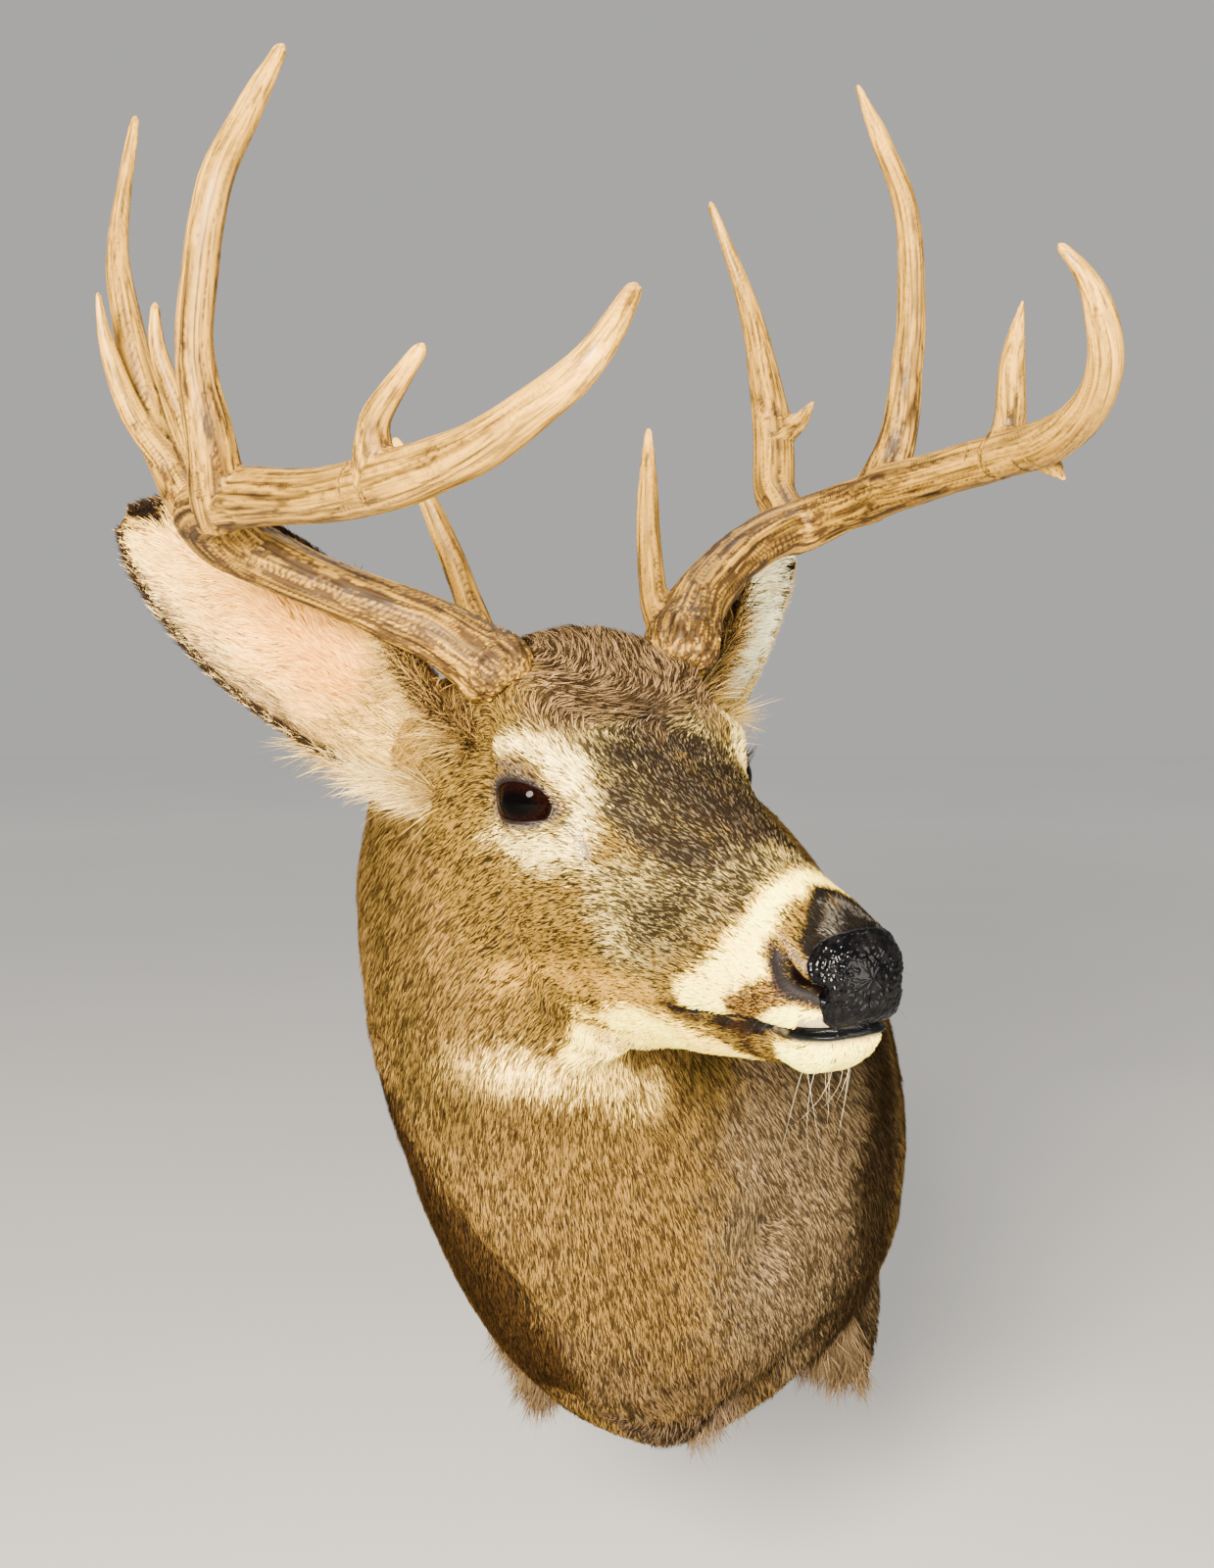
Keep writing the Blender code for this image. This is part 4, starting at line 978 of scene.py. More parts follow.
def grow_tufts(name, grid, flip, rows, sides, count, width, kinds, lie, material, seed, skip=None):
    """Flat tapering tufts over a stretch of a grid, each a thin blade of three triangles.

    kinds and lie are functions of the roots; rows and sides say which stretch of the grid.
    """
    rng = np.random.default_rng(seed)
    count = int(count * settings().coat_density * (1))
    normal, back, side = grid_normals(grid, flip)
    (r0, r1), (s0, s1) = rows, sides
    columns = np.arange(s0, s1) % grid.shape[1]
    area = np.linalg.norm(np.cross(side, back), axis=2)[r0:r1][:, columns]
    total = np.cumsum(area.ravel())
    picked = np.minimum(np.searchsorted(total, rng.random(count) * total[-1]), total.size - 1)
    i = r0 + picked // len(columns) + rng.random(count)
    j = s0 + picked % len(columns) + rng.random(count)
    root = sample(grid, i, j)
    kind = kinds(root, i, j)
    keep = kind[:, 4] > 0.8
    if skip is not None:
        keep &= ~skip(root)
    i, j, root, kind = i[keep], j[keep], root[keep], kind[keep]
    n = len(i)
    up, down, across = (sample(f, i, j) for f in (normal, back, side))
    way = lie(root, up, down)
    way = unit(way - (way * up).sum(axis=1)[:, None] * up, 1e-9)
    clumping = kind[:, 7]
    turn = 0.35 * noise(root, 0.014, 3) * (0.25 + clumping) + 0.3 * noise(root, 0.005, 4) * clumping
    turn += 0.13 * rng.normal(size=n)
    way = np.cos(turn)[:, None] * way + np.sin(turn)[:, None] * np.cross(up, way)
    length = kind[:, 4] * MM * settings().hair_length * rng.uniform(0.65, 1.2, n)
    rise = kind[:, 5] * MM * rng.uniform(0.5, 1.15, n) * (1 + 0.35 * noise(root, 0.006, 5))
    aa, ab, bb, da, db = (
        (x * y).sum(axis=1)
        for x, y in ((down, down), (down, across), (across, across), (way, down), (way, across))
    )
    det = np.maximum(aa * bb - ab**2, 1e-18)
    step_i, step_j = (da * bb - db * ab) / det, (db * aa - da * ab) / det
    clump = np.floor(root / CLUMP) * CLUMP + CLUMP / 2 + 0.0015 * noise(root, CLUMP, 6)[:, None]
    pull = clump - root
    pull -= (pull * up).sum(axis=1)[:, None] * up
    spots = []
    for share, lift in ((0.0, -0.25), (0.52, 0.72), (1.0, 1.0)):
        reach = length * share
        place_i, place_j = i + step_i * reach, j + step_j * reach
        arm = sample(grid, place_i, place_j) - root
        far = np.maximum(np.linalg.norm(arm, axis=1), 1e-9)
        spot = root + arm * np.minimum(1, 1.05 * reach / far)[:, None]
        spot = spot + sample(normal, place_i, place_j) * (rise * lift)[:, None]
        spots.append(spot + pull * (0.5 * share**2 * clumping)[:, None])
    half = 0.5 * width * rng.uniform(0.7, 1.3, n)[:, None] * np.cross(up, way)
    places = np.stack([(j - s0) / (s1 - s0), (i - r0) / (r1 - r0)], 1)
    return blades(name, spots, half, (0.8, 1), blade_colours(kind, root, rng), places, material)


def free_tufts(name, strands, width, material, seed):
    """Tapering tufts, each setting out one way and bending another.

    strands are the roots, ways, falls, lengths and colours.
    """
    roots, ways, falls, lengths, colours = strands
    rng = np.random.default_rng(seed)
    n = len(roots)
    half = np.cross(ways, rng.normal(size=(n, 3)))
    half *= 0.5 * width * rng.uniform(0.7, 1.3, n)[:, None] / np.linalg.norm(half, axis=1)[:, None]
    spots = [roots + lengths[:, None] * (share * ways + share**2 * falls) for share in (0.0, 0.55, 1.0)]
    # Painted shade: each tuft is darker at the root, for the shade deep in the hair; its tip is a little
    # paler.
    root_shaded_colours = np.array([0.5, 0.5, 1.0, 1.0, 1.1])[:, None] * colours[:, None]
    columns = int(np.ceil(np.sqrt(n)))
    places = np.stack(np.divmod(np.arange(n), columns), 1) / columns
    return blades(name, spots, half, (1, 0.9), root_shaded_colours, places, material)


def blade_colours(kind, root, rng):
    """Colours of a tuft's five points: darkened at the root as painted shade deep in the coat, pale along
    it, some with a dark tip.
    """
    n = len(kind)
    base = kind[:, :3] * rng.uniform(0.74, 1.25, n)[:, None]
    base *= (1 + 0.15 * noise(root, 0.02, 7) + 0.08 * noise(root, 0.005, 8))[:, None]
    score = 0.5 + 0.18 * noise(root, 0.0011, 9) + 0.05 * noise(root, 0.007, 10)
    ticked = (score + 0.26 * rng.normal(size=n) < kind[:, 3])[:, None]
    banded = 0.20 * ease((kind[:, 4:5] - 7) / 2) * ease((14 - kind[:, 4:5]) / 2)
    dark = np.array(DARK_HAIR)
    tip = np.where(ticked, 0.4 * dark + 0.03 * base, base * 1.5)
    pale = np.where(ticked, 0.6 * dark + (0.12 + banded) * base, base * 1.28)
    # Painted shade: the root points are darkened to stand for the shade deep in the coat.
    foot = base * np.where(ticked, 0.10, 0.28)
    return np.stack([foot, foot, pale, pale, tip], axis=1)


# Materials

def add(tree, kind, inputs=None, **values):
    """A node with its properties set, and its inputs set to values or linked to sockets."""
    made = tree.nodes.new(kind)
    for key, value in values.items():
        setattr(made, key, value)
    for key, value in (inputs or {}).items():
        socket = made.inputs[key]
        if isinstance(value, bpy.types.NodeSocket):
            tree.links.new(value, socket)
        else:
            socket.default_value = value
    return made


def new_group(name, kind, inputs, outputs):
    """An empty node tree with named sockets, and the sockets of its two end nodes."""
    tree = bpy.data.node_groups.new(name, kind)
    for way, sockets in (("INPUT", inputs), ("OUTPUT", outputs)):
        for label, value in sockets.items():
            tree.interface.new_socket(label, in_out=way, socket_type="NodeSocket" + value)
    return tree, tree.nodes.new("NodeGroupInput").outputs, tree.nodes.new("NodeGroupOutput").inputs


@cache
def streak_group():
    """Fine streaks along one direction, as a mask, and a blotch mask at a larger size."""
    tree, start, end = new_group(
        "streaks", "ShaderNodeTree", {"Vector": "Vector", "Fineness": "Float", "Blotches": "Float"},
        {"Streak": "Float", "Blotch": "Float"},
    )
    for k, detail in ((0, 2.0), (1, 3.0)):
        tree.links.new(noisy(tree, start[0], start[k + 1], detail), end[k])
    return tree


def streaks_on(tree, place, fineness, blotches):
    """The masks of the streaks and the blotches at a place."""
    inputs = {"Vector": place, "Fineness": fineness, "Blotches": blotches}
    made = add(tree, "ShaderNodeGroup", inputs, node_tree=streak_group())
    return made.outputs["Streak"], made.outputs["Blotch"]


def new_material(name, roughness, **sockets):
    material = bpy.data.materials.new(name)
    material.use_nodes = True
    tree = material.node_tree
    shader = tree.nodes["Principled BSDF"]
    shader.inputs["Roughness"].default_value = roughness
    for key, value in sockets.items():
        shader.inputs[key.replace("_", " ")].default_value = value
    return material, tree, shader


def feed(tree, shader, colour, roughness=None, normal=None):
    """Links what changes over the surface to the shader."""
    for key, value in (("Base Color", colour), ("Roughness", roughness), ("Normal", normal)):
        if value is not None:
            tree.links.new(value, shader.inputs[key])


def attribute(tree, name, output="Color"):
    return add(tree, "ShaderNodeAttribute", attribute_name=name).outputs[output]


def own_place(tree):
    return add(tree, "ShaderNodeTexCoord").outputs["Object"]


def noisy(tree, place, fineness, detail):
    return add(tree, "ShaderNodeTexNoise", {0: place, 2: fineness, 3: detail}).outputs["Fac"]


def bump(tree, strength, distance, height, **values):
    return add(tree, "ShaderNodeBump", {0: strength, 1: distance, 3: height}, **values).outputs[0]


def blend(tree, share, first, second):
    """A colour that turns from the first into the second where the share goes from 0 to 1."""
    return add(tree, "ShaderNodeMix", {0: share, 6: first, 7: second}, data_type="RGBA").outputs[2]


def scaled(tree, colour, factor):
    """A colour times a number that changes over the surface."""
    return add(
        tree, "ShaderNodeMix", {0: 1.0, 6: colour, 7: factor}, data_type="RGBA", blend_type="MULTIPLY"
    ).outputs[2]


def ranged(tree, value, low, high, to_low, to_high):
    return add(
        tree, "ShaderNodeMapRange", {0: value, 1: low, 2: high, 3: to_low, 4: to_high}
    ).outputs[0]


def hair_material(name, roughness=0.5):
    material, tree, shader = new_material(name, roughness, Specular_IOR_Level=0.0)
    feed(tree, shader, attribute(tree, "coat"))
    return material


def hide_material():
    """Short hair lying on the hide, with the bare lips and nostrils smooth and wet."""
    material, tree, shader = new_material("hide", 0.7, Specular_IOR_Level=0.15)
    streak, _ = streaks_on(tree, attribute(tree, "flow", "Vector"), 900.0, 60.0)
    colour = scaled(tree, attribute(tree, "coat"), ranged(tree, streak, 0.35, 0.65, 0.55, 1.15))
    wet = ranged(tree, attribute(tree, "coat", "Alpha"), 0, 1, 0.75, 0.16)
    feed(tree, shader, colour, wet, bump(tree, 0.5, 0.0006, streak))
    return material


def pad_material():
    """Black pebbled nose leather, glossy as if wet."""
    material, tree, shader = new_material(
        "nose_leather", 0.2, Specular_IOR_Level=0.02, Coat_Weight=0.13, Coat_Roughness=0.07
    )
    place = own_place(tree)
    wet = noisy(tree, place, 260.0, 3.0)
    cells = add(tree, "ShaderNodeTexVoronoi", {0: place, 2: 620.0}, feature="SMOOTH_F1")
    black, dark = (0.0008, 0.0008, 0.0010, 1), (0.004, 0.0035, 0.0035, 1)
    pebbled = bump(tree, 0.8, 0.0005, cells.outputs["Distance"], invert=True)
    grain = {0: 0.2, 1: 0.0003, 3: noisy(tree, place, 2400.0, 2.0), 4: pebbled}
    feed(
        tree, shader, blend(tree, ranged(tree, wet, 0.45, 0.7, 0, 1), black, dark),
        ranged(tree, wet, 0.42, 0.66, 0.07, 0.30), add(tree, "ShaderNodeBump", grain).outputs[0],
    )
    return material


def antler_material():
    """Ivory worn on the ridges, with brown stain in the grooves along the grain."""
    material, tree, shader = new_material(
        "antler", 0.45, Specular_IOR_Level=0.12, Coat_Weight=0.02, Coat_Roughness=0.2
    )
    streak, blotch = streaks_on(tree, attribute(tree, "grain", "Vector"), 620.0, 160.0)
    fine = scaled(tree, attribute(tree, "tone"), ranged(tree, streak, 0.34, 0.52, 0.35, 1.12))
    colour = scaled(tree, fine, ranged(tree, blotch, 0.3, 0.7, 0.86, 1.1))
    rough = ranged(tree, attribute(tree, "tone", "Alpha"), 0, 1, 0.34, 0.62)
    feed(tree, shader, colour, rough, bump(tree, 0.45, 0.0004, streak))
    return material


def glass_material(iris):
    """A dark glass eye: wide pupil, red-brown iris and a pale double ring at its edge, which is a painted
    reflection of the glass's rim.
    """
    material, tree, shader = new_material("glass_eye", 0.03, Specular_IOR_Level=0.02)
    spot = attribute(tree, "iris", "Vector")
    part = add(tree, "ShaderNodeSeparateXYZ", {0: spot})
    a, b = part.outputs[0], part.outputs[1]

    def maths(kind, x, y=0.0):
        return add(tree, "ShaderNodeMath", {0: x, 1: y}, operation=kind).outputs[0]

    def length(x, y):
        return maths("SQRT", maths("ADD", maths("MULTIPLY", x, x), maths("MULTIPLY", y, y)))

    radius = length(a, b)
    pupil = length(maths("DIVIDE", a, 0.56), maths("DIVIDE", maths("ADD", b, 0.10), 0.33))
    fibres = ranged(tree, noisy(tree, spot, 14.0, 4.0), 0.35, 0.7, 0, 1)
    colour = blend(tree, fibres, (*[c * 0.35 for c in iris], 1), (*iris, 1))
    colour = blend(tree, ranged(tree, pupil, 1.35, 0.75, 0, 1), colour, (0.0006, 0.0005, 0.0005, 1))
    colour = blend(tree, ranged(tree, radius, 0.80, 0.84, 0, 1), colour, (0.006, 0.003, 0.002, 1))
    # Painted reflection: two thin pale rings stand for light caught in the rim of the glass.
    for middle, wide, shade in ((0.868, 0.011, 0.10), (0.925, 0.009, 0.05)):
        off = maths("ABSOLUTE", maths("SUBTRACT", radius, middle))
        ring = (shade, shade * 0.86, shade * 0.66, 1)
        colour = blend(tree, ranged(tree, off, wide, wide * 0.5, 0, 1), colour, ring)
    feed(tree, shader, colour)
    return material


def plywood_material():
    """Sanded ply with long grain and a few darker bands."""
    material, tree, shader = new_material("plywood", 0.62, Specular_IOR_Level=0.35)
    place = own_place(tree)
    long_ = add(tree, "ShaderNodeMapping", {0: place, 3: (26.0, 60.0, 1.6)}).outputs[0]
    bands = add(tree, "ShaderNodeTexNoise", {0: long_, 2: 1.5, 3: 6.0, 4: 0.62, 8: 0.6}).outputs["Fac"]
    pores = add(tree, "ShaderNodeMapping", {0: place, 3: (900.0, 900.0, 40.0)}).outputs[0]
    fleck = noisy(tree, pores, 1.0, 2.0)
    wood = blend(tree, ranged(tree, bands, 0.35, 0.68, 0, 1), (0.30, 0.17, 0.075, 1), (0.62, 0.43, 0.23, 1))
    colour = scaled(tree, wood, ranged(tree, fleck, 0.35, 0.5, 0.75, 1.0))
    feed(tree, shader, colour, normal=bump(tree, 0.35, 0.0004, fleck))
    return material


def floor_material(near):
    """A pale floor, with painted shade that makes it a little darker under the mount and painted light that
    makes it paler far off.
    """
    material, tree, shader = new_material("floor", 0.85, Specular_IOR_Level=0.1)
    place = own_place(tree)
    far = add(tree, "ShaderNodeVectorMath", {0: place}, operation="LENGTH").outputs["Value"]
    colour = blend(tree, ranged(tree, far, 1.0, 5.0, 0, 1), (*near, 1), (0.88, 0.87, 0.86, 1))
    mottle = ranged(tree, noisy(tree, place, 3.0, 3.0), 0.3, 0.7, 0.985, 1.015)
    feed(tree, shader, scaled(tree, colour, mottle))
    return material


def plain_material(name, colour, roughness, **sockets):
    """One colour, broken up a little by a soft noise in colour and roughness."""
    material, tree, shader = new_material(name, roughness, **sockets)
    mottle = noisy(tree, own_place(tree), 420.0, 3.0)
    base = add(tree, "ShaderNodeRGB")
    base.outputs[0].default_value = (*colour, 1)
    feed(
        tree, shader, scaled(tree, base.outputs[0], ranged(tree, mottle, 0.3, 0.7, 0.8, 1.15)),
        ranged(tree, mottle, 0.3, 0.7, roughness * 0.85, min(roughness * 1.2, 1)),
    )
    return material


# Repeated small parts

@cache
def taper_tree():
    """Geometry nodes that make tapering hairs from edges."""
    tree, start, end = new_group(
        "taper_hairs", "GeometryNodeTree",
        {"Hairs": "Geometry", "Radius": "Float", "Sides": "Int", "Material": "Material"},
        {"Mesh": "Geometry"},
    )
    curve = add(tree, "GeometryNodeMeshToCurve", {"Mesh": start["Hairs"]}).outputs[0]
    share = add(tree, "GeometryNodeSplineParameter").outputs["Factor"]
    thin = ranged(tree, share, 0.0, 1.0, 1.0, 0.12)
    size = add(tree, "ShaderNodeMath", {0: thin, 1: start["Radius"]}, operation="MULTIPLY").outputs[0]
    ring = add(tree, "GeometryNodeCurvePrimitiveCircle", {"Resolution": start["Sides"], "Radius": 1.0})
    sweep = {"Curve": curve, "Profile Curve": ring.outputs[0], "Scale": size, "Fill Caps": True}
    mesh = add(tree, "GeometryNodeCurveToMesh", sweep).outputs[0]
    real = add(tree, "GeometryNodeRealizeInstances", {0: mesh})
    done = add(tree, "GeometryNodeSetMaterial", {"Geometry": real.outputs[0], "Material": start["Material"]})
    tree.links.new(done.outputs[0], end[0])
    return tree


@cache
def pearl_tree():
    """Geometry nodes that scatter rounded beads over a surface."""
    tree, start, end = new_group(
        "pearls", "GeometryNodeTree",
        {"Surface": "Geometry", "Density": "Float", "Spacing": "Float", "Size": "Float", "Seed": "Int",
         "Material": "Material"},
        {"Mesh": "Geometry"},
    )
    spread_ = {"Mesh": start["Surface"], "Distance Min": start["Spacing"], "Density Max": start["Density"],
               "Seed": start["Seed"]}
    spots = add(tree, "GeometryNodeDistributePointsOnFaces", spread_, distribute_method="POISSON").outputs
    bead = add(tree, "GeometryNodeMeshIcoSphere", {"Radius": start["Size"], "Subdivisions": 2}).outputs[0]
    limits = {0: (0.6, 0.6, 0.5), 1: (1.3, 1.3, 1.0), "Seed": start["Seed"]}
    vary = add(tree, "FunctionNodeRandomValue", limits, data_type="FLOAT_VECTOR").outputs[0]
    beads = {"Points": spots[0], "Instance": bead, "Rotation": spots["Rotation"], "Scale": vary}
    real = add(tree, "GeometryNodeInstanceOnPoints", beads)
    for kind in ("GeometryNodeRealizeInstances", "GeometryNodeSetShadeSmooth"):
        real = add(tree, kind, {0: real.outputs[0]})
    done = add(tree, "GeometryNodeSetMaterial", {"Geometry": real.outputs[0], "Material": start["Material"]})
    tree.links.new(done.outputs[0], end[0])
    return tree


def through_nodes(obj, tree, values):
    """Runs a piece through geometry nodes and keeps the result as its plain mesh."""
    step = obj.modifiers.new("step", "NODES")
    step.node_group = tree
    for item in tree.interface.items_tree:
        if item.in_out == "INPUT" and item.name in values:
            step[item.identifier] = values[item.name]
    return keep_result(obj)


def single_hairs(name, starts, ways, falls, lengths, radius, material):
    """Tapering single hairs that set out one way and bend another as they go."""
    share = np.linspace(0, 1, HAIR_STEPS)[:, None]
    starts, ways, falls = (np.array(rows, float)[:, None] for rows in (starts, ways, falls))
    points = starts + np.array(lengths)[:, None, None] * (share * ways + share**2 * falls)
    first = np.arange(len(points) * HAIR_STEPS).reshape(-1, HAIR_STEPS)[:, :-1].ravel()
    mesh = bpy.data.meshes.new(name)
    mesh.from_pydata(points.reshape(-1, 3).tolist(), np.stack([first, first + 1], 1).tolist(), [])
    values = {"Radius": radius, "Sides": 4, "Material": material}
    return through_nodes(new_object(name, mesh), taper_tree(), values)


# Antlers and ears

def antler_tube(rows, sides):
    """Rings of one beam or tine, rounded off at its tip."""
    tip, radius = rows[-1, :3], rows[-1, 3]
    run = tip - rows[-2, :3]
    run = run / np.linalg.norm(run)
    path = np.concatenate([rows[:, :3], [tip + run * radius * reach for reach in (0.55, 1.0, 1.3)]])
    return round_path(path, np.append(rows[:, 3], radius * np.array((0.86, 0.58, 0.25))), sides)[0]


def nearest_grain(points, paths):
    """For each point: place round and along the nearest beam or tine, and share of its length.

    The share of the beam's length has 10 added, which tells the beam from the tines.
    """
    best = np.full(len(points), 1e9)
    grain = np.zeros((len(points), 3))
    share = np.zeros(len(points))
    for index, rows in enumerate(paths):
        _, run, frames = round_path(rows[:, :3], rows[:, 3], 4)
        length = length_along(rows[:, :3])
        for k in range(len(rows)):
            arm = points - rows[k, :3]
            along_ = arm @ run[k]
            flat = np.linalg.norm(arm - along_[:, None] * run[k], axis=1)
            far = flat - rows[k, 3] + 2.0 * np.maximum(np.abs(along_) - 4, 0)
            here = far < best
            best = np.where(here, far, best)
            spot = [arm @ frames[k, 0], arm @ frames[k, 1], 900.0 * index + length[k] + along_]
            grain[here] = np.stack(spot, 1)[here]
            share[here] = ((length[k] + along_) / length[-1])[here] + (10 if index == 0 else 0)
    return grain, share


def soften(points, edges, times, amount):
    """Evens out a mesh by moving each point toward the middle of its neighbours."""
    count = len(points)
    a, b = edges.T
    degree = np.bincount(a, minlength=count) + np.bincount(b, minlength=count)
    for _ in range(times):
        total = np.stack(
            [np.bincount(a, points[b, k], count) + np.bincount(b, points[a, k], count) for k in range(3)], 1
        )
        points = points + amount * (total / degree[:, None] - points)
    return points


def fused(name, parts, size):
    """One mesh object from overlapping closed pieces, which are removed."""
    work = bmesh.new()
    for part in parts:
        work.from_mesh(part.data)
        bpy.data.objects.remove(part)
    bmesh.ops.recalc_face_normals(work, faces=work.faces)
    mesh = bpy.data.meshes.new(name)
    work.to_mesh(mesh)
    work.free()
    obj = new_object(name, mesh)
    remesh = obj.modifiers.new("fuse", "REMESH")
    remesh.mode, remesh.voxel_size = "VOXEL", size
    return keep_result(obj)


def make_antler_piece(side, parts, mirror, material):
    """One antler: beam and tines fused, grooved along the grain and worn smooth toward the tips."""
    paths = [smooth_rows(rows, 4) * (1, mirror, 1, 1) for rows in parts.values()]
    tubes = []
    for rows in paths:
        rings = antler_tube(rows, 28)
        tubes.append(tube_piece("tube", from_head(rings.reshape(-1, 3)).reshape(rings.shape), None))
    obj = fused(f"antler_{side}", tubes, 0.00140)
    mesh = obj.data

    def move_to(places):
        mesh.vertices.foreach_set("co", places.astype(np.float32).ravel())
        mesh.update()

    points = soften(read(mesh.vertices, "co").astype(float), read(mesh.edges, "vertices", 2), 5, 0.5)
    move_to(points)
    normal = read(mesh.vertex_normals, "vector").astype(float)
    grain, share = nearest_grain(to_head(points), paths)
    on_beam = share > 5
    share = np.where(on_beam, share - 10, share)
    rough = np.where(on_beam, np.interp(share, (0, 0.1, 0.35, 0.7, 1), (1, 1, 0.75, 0.4, 0.15)),
                     np.interp(share, (0, 0.3, 0.7, 1), (0.75, 0.5, 0.25, 0.08)))
    place = grain * (1, 1, 0.03) + 0.8 * noise(grain, 14, 3)[:, None]
    groove, fine = (ease(1 - np.abs(noise(place, size, k)) / 0.34) for k, size in ((1, 3.2), (2, 1.5)))
    lumps = noise(grain * (1, 1, 0.5), 11, 5)
    burr = np.where(on_beam, hill((share * 700 - 12) / 9), 0)
    knobs = np.abs(noise(grain * (1, 1, 0.6), 5.5, 6))
    rise = -settings().groove_depth * rough * (groove + 0.35 * fine) + 0.0007 * lumps * (0.4 + rough)
    rise += 0.0020 * burr * (knobs - 0.15)
    move_to(points + rise[:, None] * normal)
    mesh.shade_smooth()
    long_streaks = ease((noise(place * (1, 1, 0.5), 6.0, 7) + 0.25) / 0.8)
    wear = 0.34 + 0.66 * rough
    stain = wear * (0.15 + 1.0 * groove * (0.45 + 0.55 * rough) + 0.75 * fine + 0.40 * long_streaks)
    crest = ease((np.abs(noise(place, 1.2, 12)) - 0.42) / 0.25)
    stain = np.clip(stain + 0.5 * rough**3 * (0.8 + lumps), 0, 0.98) * (1 - 0.7 * crest * rough)
    polish = ease((share - 0.75) / 0.25) * (1 - 0.5 * rough)
    tone = mix(np.array(settings().antler_pale), settings().antler_dark, stain)
    tone = tone * (1 + 0.35 * polish + 0.07 * noise(grain, 24, 8))[:, None]
    mesh.materials.clear()
    mesh.materials.append(material)
    give_colours(obj, np.hstack([np.clip(tone, 0, 1), rough[:, None]]), "tone")
    give_vectors(obj, (grain * (1, 1, 0.03)) * MM, "grain")
    return obj, on_beam & (share < 0.045)


def make_pearls(antler, near_foot, seed, material):
    """Beads on the burr and the foot of a beam."""
    work = bmesh.new()
    work.from_mesh(antler.data)
    bare = [f for f in work.faces if not all(near_foot[v.index] for v in f.verts)]
    bmesh.ops.delete(work, geom=bare, context="FACES")
    mesh = bpy.data.meshes.new("foot")
    work.to_mesh(mesh)
    work.free()
    obj = new_object(antler.name + "_pearls", mesh)
    values = {"Density": 30000.0, "Spacing": 0.0058, "Size": 0.0014, "Seed": seed, "Material": material}
    through_nodes(obj, pearl_tree(), values)
    places = read(obj.data.vertices, "co")
    shade = 0.75 + 0.2 * np.random.default_rng(seed).random(len(places))[:, None]
    tone = (0.35 * np.array(settings().antler_pale) + 0.5 * np.array(settings().antler_dark)) * shade
    give_colours(obj, np.hstack([tone, np.ones((len(places), 1))]), "tone")
    give_vectors(obj, places, "grain")
    return obj


def ear_grid(rows, mirror, across=44):
    """Points of an ear's shell, as rings that run over the inside and back over the outside."""
    rows = smooth_rows(rows, 12)
    rows[:, 1] *= mirror
    path = rows[:, :3]
    run = unit(np.gradient(path, axis=0))
    opens = np.array(EAR_OPENS) * (1, mirror, 1)
    share = np.linspace(-1, 1, across)
    rings = []
    for k, row in enumerate(rows):
        front = opens - (opens @ run[k]) * run[k]
        front /= np.linalg.norm(front)
        side = np.cross(front, run[k])
        t = k / (len(rows) - 1)
        half, angle, thick = row[3], math.radians(row[4]), row[5] * 0.72
        radius = half / math.sin(min(angle, math.pi / 2))
        turn = share * angle
        rim = 1 - 0.55 * np.abs(share) ** 3
        folds = 1.3 * np.cos(share * 9 + 3 * t) * math.sin(math.pi * min(t * 1.3, 1)) ** 0.5
        inner = radius - thick * rim / 2 + folds * (1 - share**2)
        outer = radius + thick * rim / 2
        centre = path[k] + front * (radius - EAR_FOLD_BACK * half)
        wave = 0.8 * np.sin(9 * t + 2) * np.abs(share) ** 4
        arcs = [
            centre + (r + wave)[:, None] * (np.sin(turn)[:, None] * side - np.cos(turn)[:, None] * front)
            for r in (inner, outer)
        ]
        rings.append(from_head(np.concatenate([arcs[0], arcs[1][::-1]])))
    return np.array(rings)


# Operators

def ring_at(station):
    """The ring of the hide nearest a station."""
    return int(np.searchsorted(hide_grid()[2], station))


def settle(obj, slot, *nodes):
    """Ties a finished piece to the mount and hides the nodes it stands for; the slot is not used."""
    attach(obj, "root")
    if nodes:
        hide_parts(*nodes)
    return obj


